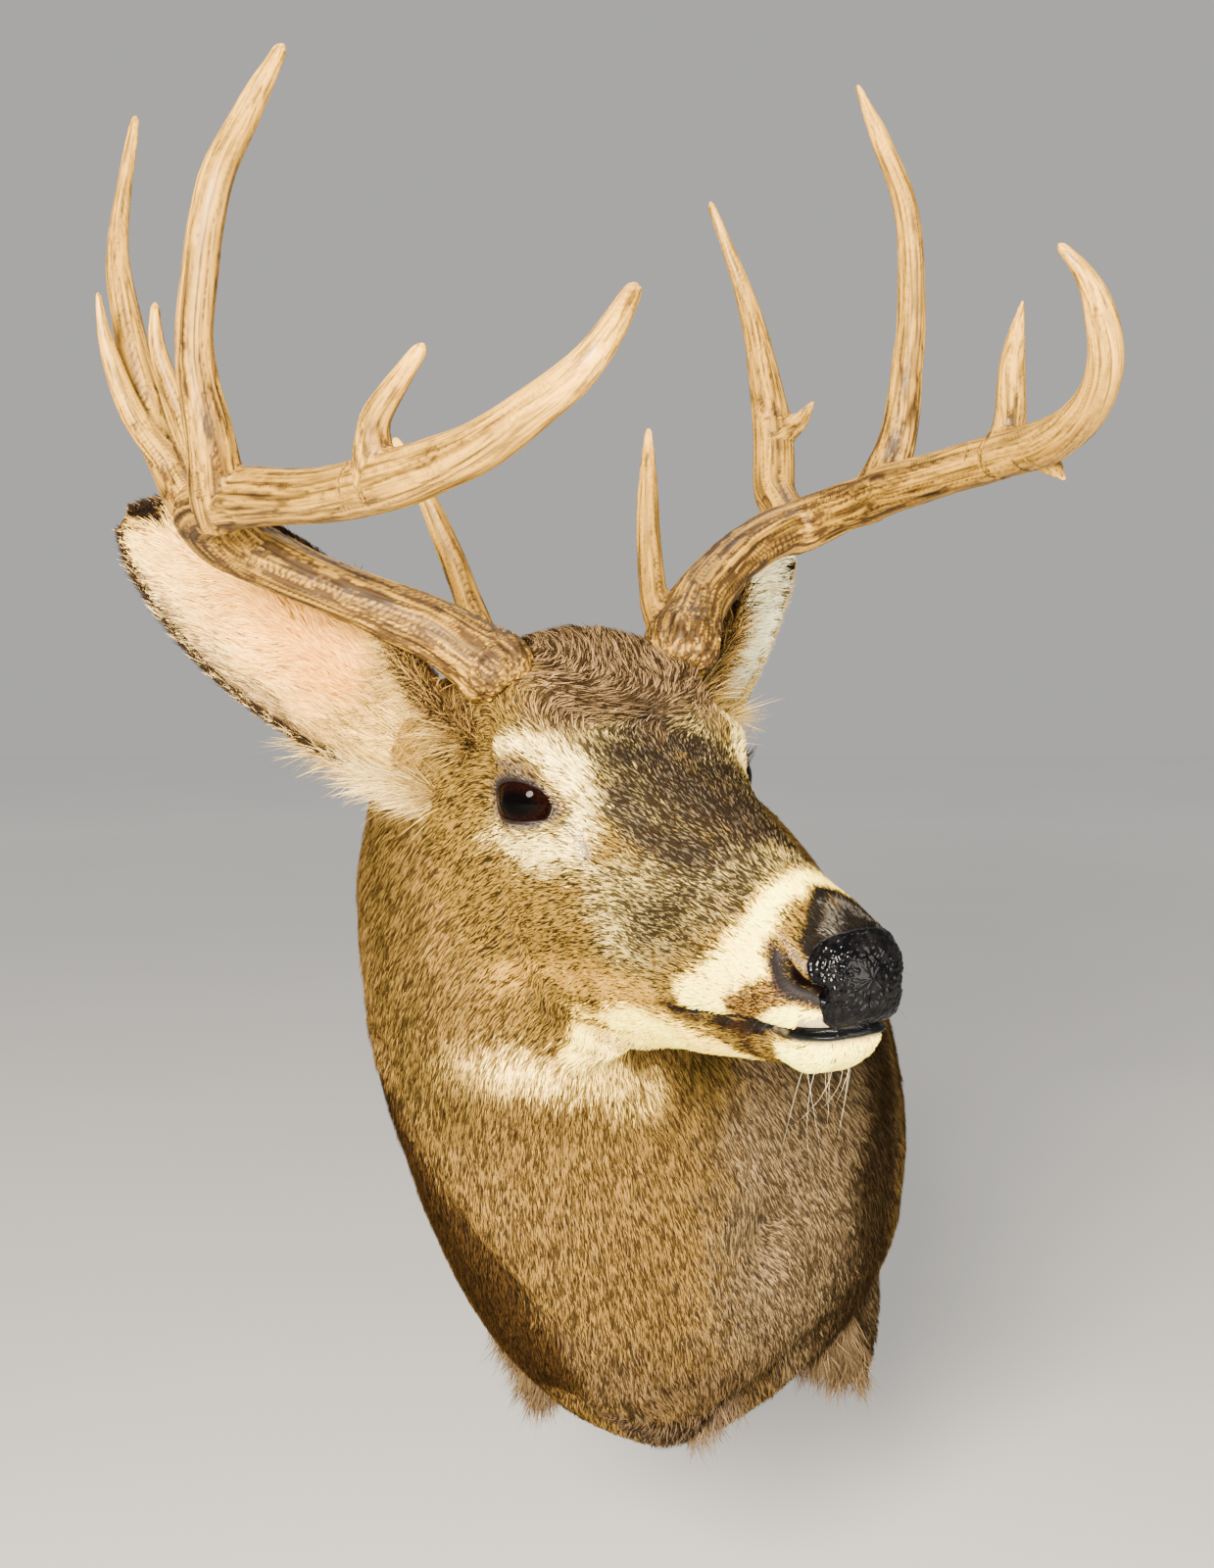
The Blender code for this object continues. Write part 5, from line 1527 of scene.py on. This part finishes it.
class BUCK_OT_hide(bpy.types.Operator):
    """One skin over head, neck and shoulders, with lids, nostrils, lips and leg stubs"""

    bl_idname = "buck.hide"
    bl_label = "Hide"

    def execute(self, context):
        grid, plain, _ = hide_grid()
        rings, sides, _ = grid.shape
        rim = grid[-1]
        middle = rim.mean(axis=0)
        arm = rim - middle
        far = np.linalg.norm(arm, axis=1)[:, None]
        inset = BOARD_INSET - COAT_DEPTH[-1][1] * MM - 0.0003
        recess = middle + arm * (far - inset) / far
        deep = recess.copy()
        deep[:, 1] = -(BOARD_THICKNESS + BOARD_SLACK)
        tube = np.concatenate([grid, [recess, deep]])
        obj = tube_piece("hide", tube, hide_material())
        points = np.concatenate([tube.reshape(-1, 3), [grid[0].mean(axis=0), deep.mean(axis=0)]])
        marked = points.copy()
        marked[: rings * sides] = plain.reshape(-1, 3)
        kinds = kinds_at(marked)
        bare = kinds[:, 6:7]
        # Painted shade: where it is not bare, the hide is darkened and greyed, for the shade among the hairs
        # over it.
        bright = kinds[:, :3].max(axis=1)[:, None]
        colour = kinds[:, :3] * np.maximum(0.35 + 0.4 * bright, bare)
        colour = 0.38 * colour + 0.32 * colour.mean(axis=1)[:, None]
        colour[rim_ratio(to_head(points)) < 1.07] = 0.012
        give_colours(obj, np.hstack([colour, bare]))
        i, j = np.divmod(np.arange((rings + 2) * sides), sides)
        around, back = length_along(grid), length_along(grid.mean(axis=1))
        rows = np.minimum(i, rings - 1)
        flow = np.stack([around[rows, j], back[rows] * 0.12, 0 * around[rows, j]], axis=1)
        give_vectors(obj, np.concatenate([flow, np.zeros((2, 3))]), "flow")
        settle(obj, "body_fur", "head", "lower_jaw", "neck", "shoulders")
        return {"FINISHED"}


class BUCK_OT_nose(bpy.types.Operator):
    """The bare pebbled pad of the nose, its edge sunk under the hair"""

    bl_idname = "buck.nose"
    bl_label = "Nose pad"

    def execute(self, context):
        rings, sides = 120, 220
        at = np.interp(np.arange(rings), (0, 18, rings - 1), (0, 1.2, 4.4))
        grid = skin_rings(at, sides)
        points, normal = grid.reshape(-1, 3), grid_normals(grid)[0].reshape(-1, 3)
        head = to_head(points)
        share = pad_share(head)
        rise = fine_height(head) + 0.5 * share - 2.6 * (1 - share)
        rise += share * (0.55 * pebbles(head, 2.3) + 0.3 * noise(head, 5.0, 2))
        points = points + (rise * MM)[:, None] * normal
        obj = tube_piece("nose_pad", points.reshape(rings, sides, 3), pad_material())
        settle(obj, "nose_pad", "nose")
        return {"FINISHED"}


class BUCK_OT_eyes(bpy.types.Operator):
    """Glass eyes, the dark rims of the lids and the lashes"""

    bl_idname = "buck.eyes"
    bl_label = "Eyes"

    def execute(self, context):
        glass = glass_material(settings().iris_colour)
        rim_finish = plain_material("lid_rim", (0.008, 0.005, 0.004), 0.4, Specular_IOR_Level=0.12)
        lash = plain_material("lash", (0.012, 0.009, 0.007), 0.45)
        polar = np.radians(np.linspace(1.5, 102, 52))[:, None, None]
        for side, mirror in (("left", 1), ("right", -1)):
            middle, look, forward, up = eye_frame(mirror)
            ball = EYE_RADIUS * (np.cos(polar) * look + np.sin(polar) * ring_of(72, forward, up))
            ball += (0.7 * hill(polar / 0.55)) * look
            rings = from_head((middle + ball).reshape(-1, 3)).reshape(ball.shape)
            obj = tube_piece(f"eye_{side}", rings, glass, flip=mirror > 0)
            local = np.sin(polar) * ring_of(72, (1, 0, 0), (0, 1, 0))
            give_vectors(obj, np.concatenate([local.reshape(-1, 3), np.zeros((2, 3))]), "iris")
            settle(fix_outside(obj), "glass_eye", f"eye_{side}")
            rim = smooth_loop(EYE_RIM, 8)
            rim = rim * (1 + 0.02 * np.sign(rim))
            far = np.hypot(*rim.T)
            out = np.sqrt(np.maximum((EYE_RADIUS + 0.5) ** 2 - far**2, 0.0))
            path = middle + out[:, None] * look + rim[:, :1] * forward + rim[:, 1:] * up
            front = hill((rim[:, 0] - 18) / 4)
            obj = loop_tube(f"lid_rim_{side}", from_head(path), (1.0 + 0.7 * front) * MM, 10, rim_finish)
            settle(fix_outside(obj), "nose_pad")
            settle(self.lashes(side, rim, path, look, forward, up, lash), "face_fur")
        return {"FINISHED"}

    def lashes(self, side, rim, path, look, forward, up, material):
        rng = np.random.default_rng(11)
        upper = np.flatnonzero(rim[:, 1] > 1.5)
        starts, ways, falls, lengths = [], [], [], []
        for k in rng.choice(upper, 46):
            starts.append(from_head(path[k] + 0.8 * look + rng.normal(0, 0.3, 3)))
            fan = rim[k, 0] / 18 + rng.normal(0, 0.12)
            ways.append(HEAD_AXES @ (0.85 * look + 0.35 * up + 0.45 * fan * forward))
            falls.append(HEAD_AXES @ (0.35 * up - 0.15 * look))
            lengths.append(rng.uniform(0.005, 0.011) * (1 - 0.4 * abs(fan)))
        return single_hairs(f"lashes_{side}", starts, ways, falls, lengths, 0.00022, material)


def fix_outside(obj):
    """Turns the faces outward where a mirrored piece came out inside out."""
    work = bmesh.new()
    work.from_mesh(obj.data)
    bmesh.ops.recalc_face_normals(work, faces=work.faces)
    work.to_mesh(obj.data)
    work.free()
    return obj


def loop_tube(name, path, radii, sides, material):
    """A ring-shaped tube along a closed path."""
    run = unit(np.roll(path, -1, 0) - np.roll(path, 1, 0))
    away = path - path.mean(axis=0)
    away = unit(away - (away * run).sum(axis=1)[:, None] * run)
    ways = ring_of(sides, away[:, None], np.cross(run, away)[:, None])
    rings = path[:, None] + radii[:, None, None] * ways
    a = np.arange(len(path) * sides).reshape(len(path), sides)
    b, c = np.roll(a, -1, 1), np.roll(a, -1, 0)
    quads = np.stack([a, b, np.roll(b, -1, 0), c], axis=2).reshape(-1, 4)
    return new_piece(name, rings.reshape(-1, 3), quads, material)


class BUCK_OT_antlers(bpy.types.Operator):
    """Both antlers, each fused from its beam and tines, with pearls at the foot"""

    bl_idname = "buck.antlers"
    bl_label = "Antlers"

    def execute(self, context):
        finish = antler_material()
        bits = ("beam_lower", "beam_upper", "brow_tine", "second_tine", "third_tine", "fourth_tine")
        for side, mirror, parts in (("right", -1, RIGHT_ANTLER), ("left", 1, LEFT_ANTLER)):
            obj, near_foot = make_antler_piece(side, parts, mirror, finish)
            settle(make_pearls(obj, near_foot, 3 + mirror, finish), "antler")
            settle(obj, "antler", *[f"antler_{side}_{bit}" for bit in bits])
        return {"FINISHED"}


class BUCK_OT_ears(bpy.types.Operator):
    """Cupped ears with pink skin, dark rims and fine hair"""

    bl_idname = "buck.ears"
    bl_label = "Ears"

    def execute(self, context):
        skin_finish = hair_material("ear_skin", 0.62)
        fur = hair_material("ear_fur")
        for side, mirror, rows in (("right", -1, EAR_RIGHT), ("left", 1, EAR_LEFT)):
            grid = ear_grid(rows, mirror)
            rings, sides, _ = grid.shape
            obj = tube_piece(f"ear_{side}", grid, skin_finish)
            i, j = np.divmod(np.arange(rings * sides), sides)
            kinds = ear_kinds(grid.reshape(-1, 3), i / (rings - 1), j / sides, mirror)
            tone = kinds[:, :3] * (0.90, 0.70, 0.55)
            give_colours(obj, np.concatenate([tone, tone[:1], tone[-1:]]))
            settle(fix_outside(obj), "ear_skin", f"ear_{side}")
            flip = outward_sign(grid)
            middle = grid.mean(axis=1)
            run = np.gradient(middle, axis=0)

            def fan_out(root, up, down):
                """Along the ear and outward from its middle line."""
                k = np.argmin(((root[:, None] - middle) ** 2).sum(axis=2), axis=1)
                way = unit(run[k])
                away = root - middle[k]
                away -= (away * way).sum(axis=1)[:, None] * way
                return way + 0.75 * away / np.maximum(np.linalg.norm(away, axis=1), 0.004)[:, None]

            def kinds_of(root, i, j):
                return ear_kinds(root, i / (rings - 1), np.mod(j, sides) / sides, mirror)

            coat = grow_tufts(
                f"coat_ear_{side}", grid, flip, (0, rings - 2), (0, sides), 23000, 0.00050,
                kinds_of, fan_out, fur, 40 + mirror,
            )
            settle(coat, "ear_skin")
            settle(self.fringe(side, grid, mirror, fur), "ear_skin")
        return {"FINISHED"}

    def fringe(self, side, grid, mirror, fur):
        """Ragged hair along both edges: long and white low down, dark higher up and at the back."""
        rng = np.random.default_rng(60 + mirror)
        rings, sides, _ = grid.shape
        half = sides // 2
        edges = [(grid[:, 0] + grid[:, -1]) / 2, (grid[:, half - 1] + grid[:, half]) / 2]
        edges.sort(key=lambda edge: edge[:, 2].mean())
        middle = grid.mean(axis=1)
        run = unit(np.gradient(middle, axis=0))
        opens = from_head(np.array(EAR_OPENS) * (1, mirror, 1)) - from_head(np.zeros(3))
        opens /= np.linalg.norm(opens)
        pale_hair, black = (0.56, 0.36, 0.085), (0.020, 0.010, 0.005)
        laid = []

        def stray(amount):
            return amount * rng.normal(size=(count, 3))

        def vary(low, high):
            return rng.uniform(low, high, (count, 1))

        def either(share, first, second):
            return np.where(rng.random((count, 1)) < share, first, second)

        for upper, (edge, count) in enumerate(zip(edges, (7000, 5200))):
            share = rng.beta(1.0, 1.2, count)
            k, part = np.divmod(share * (rings - 2), 1)
            k, part = k.astype(int), part[:, None]
            root = edge[k] * (1 - part) + edge[k + 1] * part
            inward = unit(middle[k] - root)
            low = ease((0.34 - share) / 0.22)[:, None]
            root = root + inward * vary(0, 0.003) * (1 + 2 * low)
            way = run[k] * (1.0 - 0.35 * low) - inward * (0.12 + 0.45 * low)
            way += stray(0.14 * (1 - 0.7 * share[:, None]))
            way[:, 2] -= (0.35 * low[:, 0]) * (1 - upper)
            fall = 0.25 * run[k] + 0.1 * inward + stray(0.12)
            late = ease((share - 0.8) / 0.2)
            length = rng.uniform(0.0035, 0.0085, count) * (1 + 2.4 * low[:, 0]) * (1 - 0.6 * late)
            # Painted light: the far ear's fringe has fewer dark hairs, and pale ones along its top edge.
            share_dark = (0.86 - (0.1 if upper else 0.86) * low[:, 0]) * (1 if mirror < 0 else 0.2)
            dark = 0.5 + 0.5 * noise(root, 0.0012, 11) + 0.1 * rng.normal(size=count) < 0.86 * share_dark
            pale = np.array((0.20, 0.11, 0.035) if upper and mirror < 0 else (0.62, 0.44, 0.16))
            colour = np.where(dark[:, None], (0.016, 0.009, 0.005), pale) * vary(0.7, 1.2)
            laid.append((root, way, fall, length, colour))
        count = 5000
        i, j = rng.uniform(2, 0.34 * rings, count), rng.uniform(1, half - 2, count)
        here = run[i.astype(int)]
        laid.append((
            sample(grid, i, j), 0.75 * here + 0.55 * opens + stray(0.22),
            0.3 * here + (0, 0, -0.35) + stray(0.15),
            rng.uniform(0.014, 0.030, count), np.array(pale_hair) * vary(0.3, 1.2),
        ))
        count = 4500
        i, j = rng.uniform(0, 4, count), rng.uniform(1, half - 2, count)
        laid.append((
            sample(grid, i, j), run[2] + 0.55 * opens + stray(0.28),
            0.1 * run[2] + (0, 0, -0.2) + stray(0.2),
            rng.uniform(0.014, 0.032, count), either(0.55, (0.22, 0.13, 0.032), pale_hair) * vary(0.4, 1.2),
        ))
        k = (rng.beta(1.0, 2.2, count) * 0.5 * (rings - 2)).astype(int)
        root = edges[1][k] + stray(0.0025)
        lift = unit(middle[k] - root)
        laid.append((
            root, 0.6 * run[k] - 0.25 * lift + 0.35 * opens + stray(0.3),
            0.45 * lift * vary(-0.6, 1) + stray(0.2),
            rng.uniform(0.010, 0.020, count), either(0.45, (0.30, 0.17, 0.04), black) * vary(0.5, 1.3),
        ))
        strands = [np.concatenate(field) for field in zip(*laid)]
        return free_tufts(f"ear_fringe_{side}", strands, 0.00042, fur, 70 + mirror)


def outward_sign(grid):
    """1 or -1, so that a ring-shaped grid's normals point out of it."""
    normal = grid_normals(grid)[0]
    half = grid.shape[1] // 2
    across = grid[:, 3 * half // 2] - grid[:, half // 2]
    return 1 if (normal[:, 3 * half // 2] * across).sum() > 0 else -1


def ear_kinds(points, along_, around, mirror):
    """Kinds of hair on an ear, by the share of its length and the share round its shell. The far ear (mirror
    above 0) is painted paler and whiter, as painted light.
    """
    inner = around < 0.5
    share = np.where(inner, 4 * around - 1, 3 - 4 * around) * mirror
    ragged = 0.03 * noise(points, 0.012, 1) + 0.02 * noise(points, 0.004, 2)
    ragged += 0.05 * noise(points, 0.0009, 3)
    cup = ease((0.99 - np.abs(share)) / 0.08) * inner
    # Painted light: the far ear is less pink, with a fainter rim and no brown edge.
    pink = (1.0 if mirror < 0 else 0.25) * cup
    middle = np.exp(-(((share + 0.05) / 0.5) ** 2) - ((along_ - 0.5) / 0.3) ** 2)
    centre = np.exp(-(((share + 0.15) / 0.3) ** 2) - ((along_ - 0.36) / 0.14) ** 2)
    foot = ease((0.38 - along_ + ragged) / 0.2)
    edge = ease((np.abs(share) - 0.52 + 2.4 * ragged) / 0.28) * inner * ease((along_ - 0.14) / 0.25)
    late = ease((along_ - 0.6) / 0.4)
    rim = ease((np.abs(share) - 0.95 + 0.12 * late + ragged) / 0.05) * (0.1 + 0.9 * (mirror < 0))
    tip = ease((along_ - 0.87 + 0.12 * (share * mirror < -0.2) + 2.2 * ragged) / 0.13)
    kinds = np.full((len(points), 8), (0.15, 0.075, 0.020, 0.5, 7, 1.8, 0, 0.3))
    for kind, weight in (
        ((0.62, 0.41, 0.105, 0.16, 13, 2.6, 0, 0.9), cup),
        # Painted light: a whiter cup on the far ear only
        ((0.97, 0.86, 0.48, 0.06, 13, 2.6, 0, 0.9), cup * (mirror > 0)),
        ((0.55, 0.26, 0.036, 0.06, 10, 1.6, 0, 0.6), 0.9 * pink * middle),
        ((0.46, 0.195, 0.017, 0.06, 8, 1.2, 0, 0.5), 0.85 * pink * centre),
        ((0.58, 0.37, 0.085, 0.18, 18, 5.0, 0, 1.0), cup * foot),
        ((0.46, 0.33, 0.14, 0.76, 9, 2.2, 0, 0.4), 0.95 * (mirror < 0) * edge),
        ((0.030, 0.016, 0.008, 0.2, 6, 1.8, 0, 0.4), rim * ease((along_ - 0.16) / 0.2)),
        ((0.010, 0.007, 0.005, 0.1, 6, 1.6, 0, 0.3), tip),
        ((0.17, 0.080, 0.016, 0.5, 9, 2.2, 0, 0.5), ease((0.2 - along_) / 0.15) * ~inner),
    ):
        kinds = mix(kinds, kind, np.clip(weight, 0, 1))
    return kinds


# Stretches of the coat: name, slot, stations from and to, shares round from the top line on the
# buck's left, tufts, and whether they have the neck's width
COATS = (
    ("coat_muzzle", "face_fur", 0.6, 6.0, 0.0, 1.0, 44000, False),
    ("coat_face_left", "face_fur", 6.0, 14.1, 0.0, 0.42, 50000, False),
    ("coat_face_right", "face_fur", 6.0, 14.1, 0.58, 1.0, 50000, False),
    ("coat_jaw", "jaw_fur", 6.0, 13.6, 0.42, 0.58, 22000, False),
    ("coat_neck_upper_left", "neck_fur", 13.6, 17.0, 0.0, 0.5, 32000, True),
    ("coat_neck_upper_right", "neck_fur", 13.6, 17.0, 0.5, 1.0, 34000, True),
    ("coat_neck_lower_left", "neck_fur", 17.0, 20.2, 0.0, 0.5, 45000, True),
    ("coat_neck_lower_right", "neck_fur", 17.0, 20.2, 0.5, 1.0, 46000, True),
    ("coat_body_left", "body_fur", 20.2, 22.9, 0.0, 0.5, 44000, True),
    ("coat_body_right", "body_fur", 20.2, 22.9, 0.5, 1.0, 43000, True),
)


class BUCK_OT_coat(bpy.types.Operator):
    """The coat, in stretches of thin tapering tufts that follow the lie of the hair"""

    bl_idname = "buck.coat"
    bl_label = "Coat"

    def execute(self, context):
        grid = hide_grid()[0]
        sides = grid.shape[1]
        fur = hair_material("fur")
        for seed, (name, slot, a0, a1, s0, s1, count, wide) in enumerate(COATS):
            width = settings().neck_hair_width if wide else settings().face_hair_width
            rows = (ring_at(a0), ring_at(a1))
            obj = grow_tufts(
                name, grid, 1, rows, (int(s0 * sides), int(s1 * sides)), count, width,
                self.kinds_of, lie_of_hair, fur, 100 + seed, self.bald,
            )
            settle(obj, slot)
        settle(self.hanging(grid, fur), "body_fur")
        return {"FINISHED"}

    def hanging(self, grid, fur):
        """Long loose hair that hangs from the leg stubs and the brisket."""
        rng = np.random.default_rng(140)
        normal = grid_normals(grid)[0]
        first = ring_at(20.5)
        rows, sides = np.divmod(np.arange((len(grid) - first - 3) * grid.shape[1]), grid.shape[1])
        i = first + rows + rng.random(len(rows))
        j = sides + rng.random(len(rows))
        root, up = sample(grid, i, j), sample(normal, i, j)
        kind = kinds_at(sample(hide_grid()[1], i, j), 0.5 * rng.normal(size=len(i)))
        shaggy = (kind[:, 4] > 18) & (up[:, 2] < 0.15) & (root[:, 2] < -0.14)
        picked = rng.choice(np.flatnonzero(shaggy), 8000)
        root = root[picked] + rng.normal(0, 0.0012, (len(picked), 3))
        way = 0.35 * up[picked] + (0, 0, -0.75) + 0.22 * rng.normal(size=root.shape)
        way += 0.25 * noise(root, 0.012, 3)[:, None] * (1, 0, 0)
        fall = (0, 0, -0.25) + 0.28 * rng.normal(size=root.shape)
        length = rng.uniform(0.009, 0.017, len(root))
        pale = np.array((0.15, 0.098, 0.048)) * rng.uniform(0.5, 1.3, (len(root), 1))
        own = kind[picked, :3] * rng.uniform(0.5, 1.3, (len(root), 1))
        colour = np.where(rng.random((len(root), 1)) < 0.35, pale, own)
        root[:, 1] = np.minimum(root[:, 1], -0.012)
        return free_tufts("coat_hanging", (root, way, fall, length, colour), 0.00055, fur, 141)

    def kinds_of(self, root, i, j):
        """Kinds of hair, shorter and darker toward the rims of the lids."""
        jitter = 0.6 * np.random.default_rng(len(root)).normal(size=len(root))
        kinds = kinds_at(sample(hide_grid()[1], i, j), jitter)
        head = to_head(root)
        near = np.flatnonzero(head[:, 0] > -40)
        kinds[near] = mix(kinds[near], HAIR["lid"], ease((1.42 - rim_ratio(head[near])) / 0.26) * 0.92)
        return kinds

    def bald(self, root):
        """Where no hair grows: the nose pad and the opening of the lids."""
        head = to_head(root)
        near = head[:, 0] > -40
        bald = np.zeros(len(head), bool)
        below = below_mouth(head)
        above = -2.4 - 6 * ease((head[:, 0] - 172) / 12)
        in_mouth = (head[:, 0] > 140) & (below > above) & (below < 5.2)
        bald[near] = (rim_ratio(head[near]) < 1.1) | (pad_share(head[near]) > 0.3) | in_mouth[near]
        return bald


# Whiskers beside the chin's: place, number, where they grow forward, outward and up in mm, the way
# they set out forward, outward and up, the way they bend, their lengths and radius in metres
WHISKERS = (
    ("lip", 26, (140, 184), 30, (-82, -62), (-0.5, 0.5), 1, (-0.7, 0.2), (-0.3, 0, -0.5),
     (0.008, 0.022), 0.00009),
    ("brow", 8, (0, 26), 58, (18, 26), (0, 0.7), 0.8, (0.2, 0.8), (-0.2, 0, 0.3),
     (0.012, 0.022), 0.0001),
)


class BUCK_OT_whiskers(bpy.types.Operator):
    """Single long hairs on the chin, the lips and above the eyes"""

    bl_idname = "buck.whiskers"
    bl_label = "Whiskers"

    def execute(self, context):
        rng = np.random.default_rng(21)
        pale = plain_material("whisker_pale", (0.80, 0.66, 0.42), 0.45)
        dark = plain_material("whisker_dark", (0.03, 0.02, 0.014), 0.45)
        chin = [(rng.uniform(150, 180), rng.uniform(-15, 15)) for _ in range(10)]
        roots = [(x, y, -112) for x, y in chin]
        ways = [HEAD_AXES @ (rng.uniform(-0.3, 0.25), rng.uniform(-0.35, 0.35), -0.9) for _ in chin]
        falls = [HEAD_AXES @ (rng.uniform(-0.7, 0.4), rng.uniform(-0.2, 0.2), -0.1) for _ in chin]
        self.bristles("chin", roots, ways, falls, rng.uniform(0.018, 0.044, len(chin)), 0.00005, pale)
        for place, count, front, side, height, ahead, out, upward, fall, longest, radius in WHISKERS:
            roots, ways = [], []
            for _ in range(count):
                mirror = rng.choice((-1, 1))
                roots.append((rng.uniform(*front), side * mirror, rng.uniform(*height)))
                ways.append(HEAD_AXES @ (rng.uniform(*ahead), mirror * out, rng.uniform(*upward)))
            falls = [HEAD_AXES @ fall] * count
            self.bristles(place, roots, ways, falls, rng.uniform(*longest, count), radius, dark)
        return {"FINISHED"}

    def bristles(self, place, roots, ways, falls, lengths, radius, material):
        roots = self.on_hide(roots)
        hairs = single_hairs(f"whiskers_{place}", roots, ways, falls, lengths, radius, material)
        settle(hairs, "face_fur")

    def on_hide(self, spots):
        """The nearest points of the hide to spots of the head's frame."""
        grid = hide_grid()[0].reshape(-1, 3)
        wanted = from_head(np.array(spots, float))
        return [grid[np.argmin(((grid - spot) ** 2).sum(axis=1))] for spot in wanted]


class BUCK_OT_board(bpy.types.Operator):
    """Plywood finish for the backing board"""

    bl_idname = "buck.board"
    bl_label = "Backing board"

    def execute(self, context):
        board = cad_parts["back_board"]
        board.data.materials.clear()
        board.data.materials.append(plywood_material())
        return {"FINISHED"}


class BUCK_OT_studio(bpy.types.Operator):
    """Pale floor, soft lamps and the camera"""

    bl_idname = "buck.studio"
    bl_label = "Studio"

    def execute(self, context):
        low = -0.46
        corners = [(-7, -7, low), (7, -7, low), (7, 7, low), (-7, 7, low)]
        floor = new_piece("floor", np.array(corners), np.array([(0, 1, 2, 3)]),
                          floor_material(settings().floor_colour))
        world = bpy.data.worlds.new("studio")
        context.scene.world = world
        world.use_nodes = True
        back = world.node_tree.nodes["Background"]
        back.inputs[0].default_value = (0.80, 0.79, 0.77, 1)
        back.inputs[1].default_value = 0.6
        target = np.array((0.0, -0.3, 0.1))
        key = settings().key_power
        for name, spot, power, size, tint in (
            ("key", (-0.5, -2.35, 0.8), key, 0.7, (1.0, 0.92, 0.80)),
            ("fill", (1.5, -1.8, 0.0), key * 0.15, 1.2, (1.0, 0.95, 0.88)),
            ("top", (0.2, 0.5, 1.9), key * 0.08, 1.2, (1.0, 0.97, 0.93)),
        ):
            light = bpy.data.lights.new(name, "AREA")
            light.shape = "DISK"
            light.energy, light.size, light.color = power, size, tint
            lamp = new_object(name, light)
            lamp.location = spot
            aim_at(lamp, target)
        camera = bpy.data.cameras.new("camera")
        camera.lens, camera.sensor_width = 52.875, 36.0
        eye = new_object("camera", camera)
        eye.location = (-0.043, -1.53, 0.33)
        eye.rotation_euler = (math.radians(84), 0, 0)
        context.scene.camera = eye
        return {"FINISHED"}


def aim_at(obj, target):
    """Turns a lamp so that it shines at a point."""
    way = np.array(target) - np.array(obj.location)
    flat = math.hypot(way[0], way[1])
    obj.rotation_euler = (math.pi / 2 - math.atan2(-way[2], flat), 0, math.atan2(-way[0], way[1]))


class BUCK_PT_panel(bpy.types.Panel):
    """Lists the mount's sizes, colours and steps"""

    bl_label = "Buck shoulder mount"
    bl_space_type = "VIEW_3D"
    bl_region_type = "UI"
    bl_category = "Buck"

    def draw(self, context):
        for name in BuckSettings.__annotations__:
            self.layout.prop(context.scene.buck, name)
        for step in STEPS:
            self.layout.operator(step.bl_idname)


STEPS = (
    BUCK_OT_studio, BUCK_OT_hide, BUCK_OT_nose, BUCK_OT_eyes, BUCK_OT_antlers, BUCK_OT_ears,
    BUCK_OT_coat, BUCK_OT_whiskers, BUCK_OT_board,
)
CLASSES = (BuckSettings, *STEPS, BUCK_PT_panel)


def register():
    for item in CLASSES:
        bpy.utils.register_class(item)
    bpy.types.Scene.buck = PointerProperty(type=BuckSettings)


def unregister():
    del bpy.types.Scene.buck
    for item in reversed(CLASSES):
        bpy.utils.unregister_class(item)


def main():
    register()
    for step in STEPS:
        group, name = step.bl_idname.split(".")
        getattr(getattr(bpy.ops, group), name)()


if __name__ == "__main__":
    main()
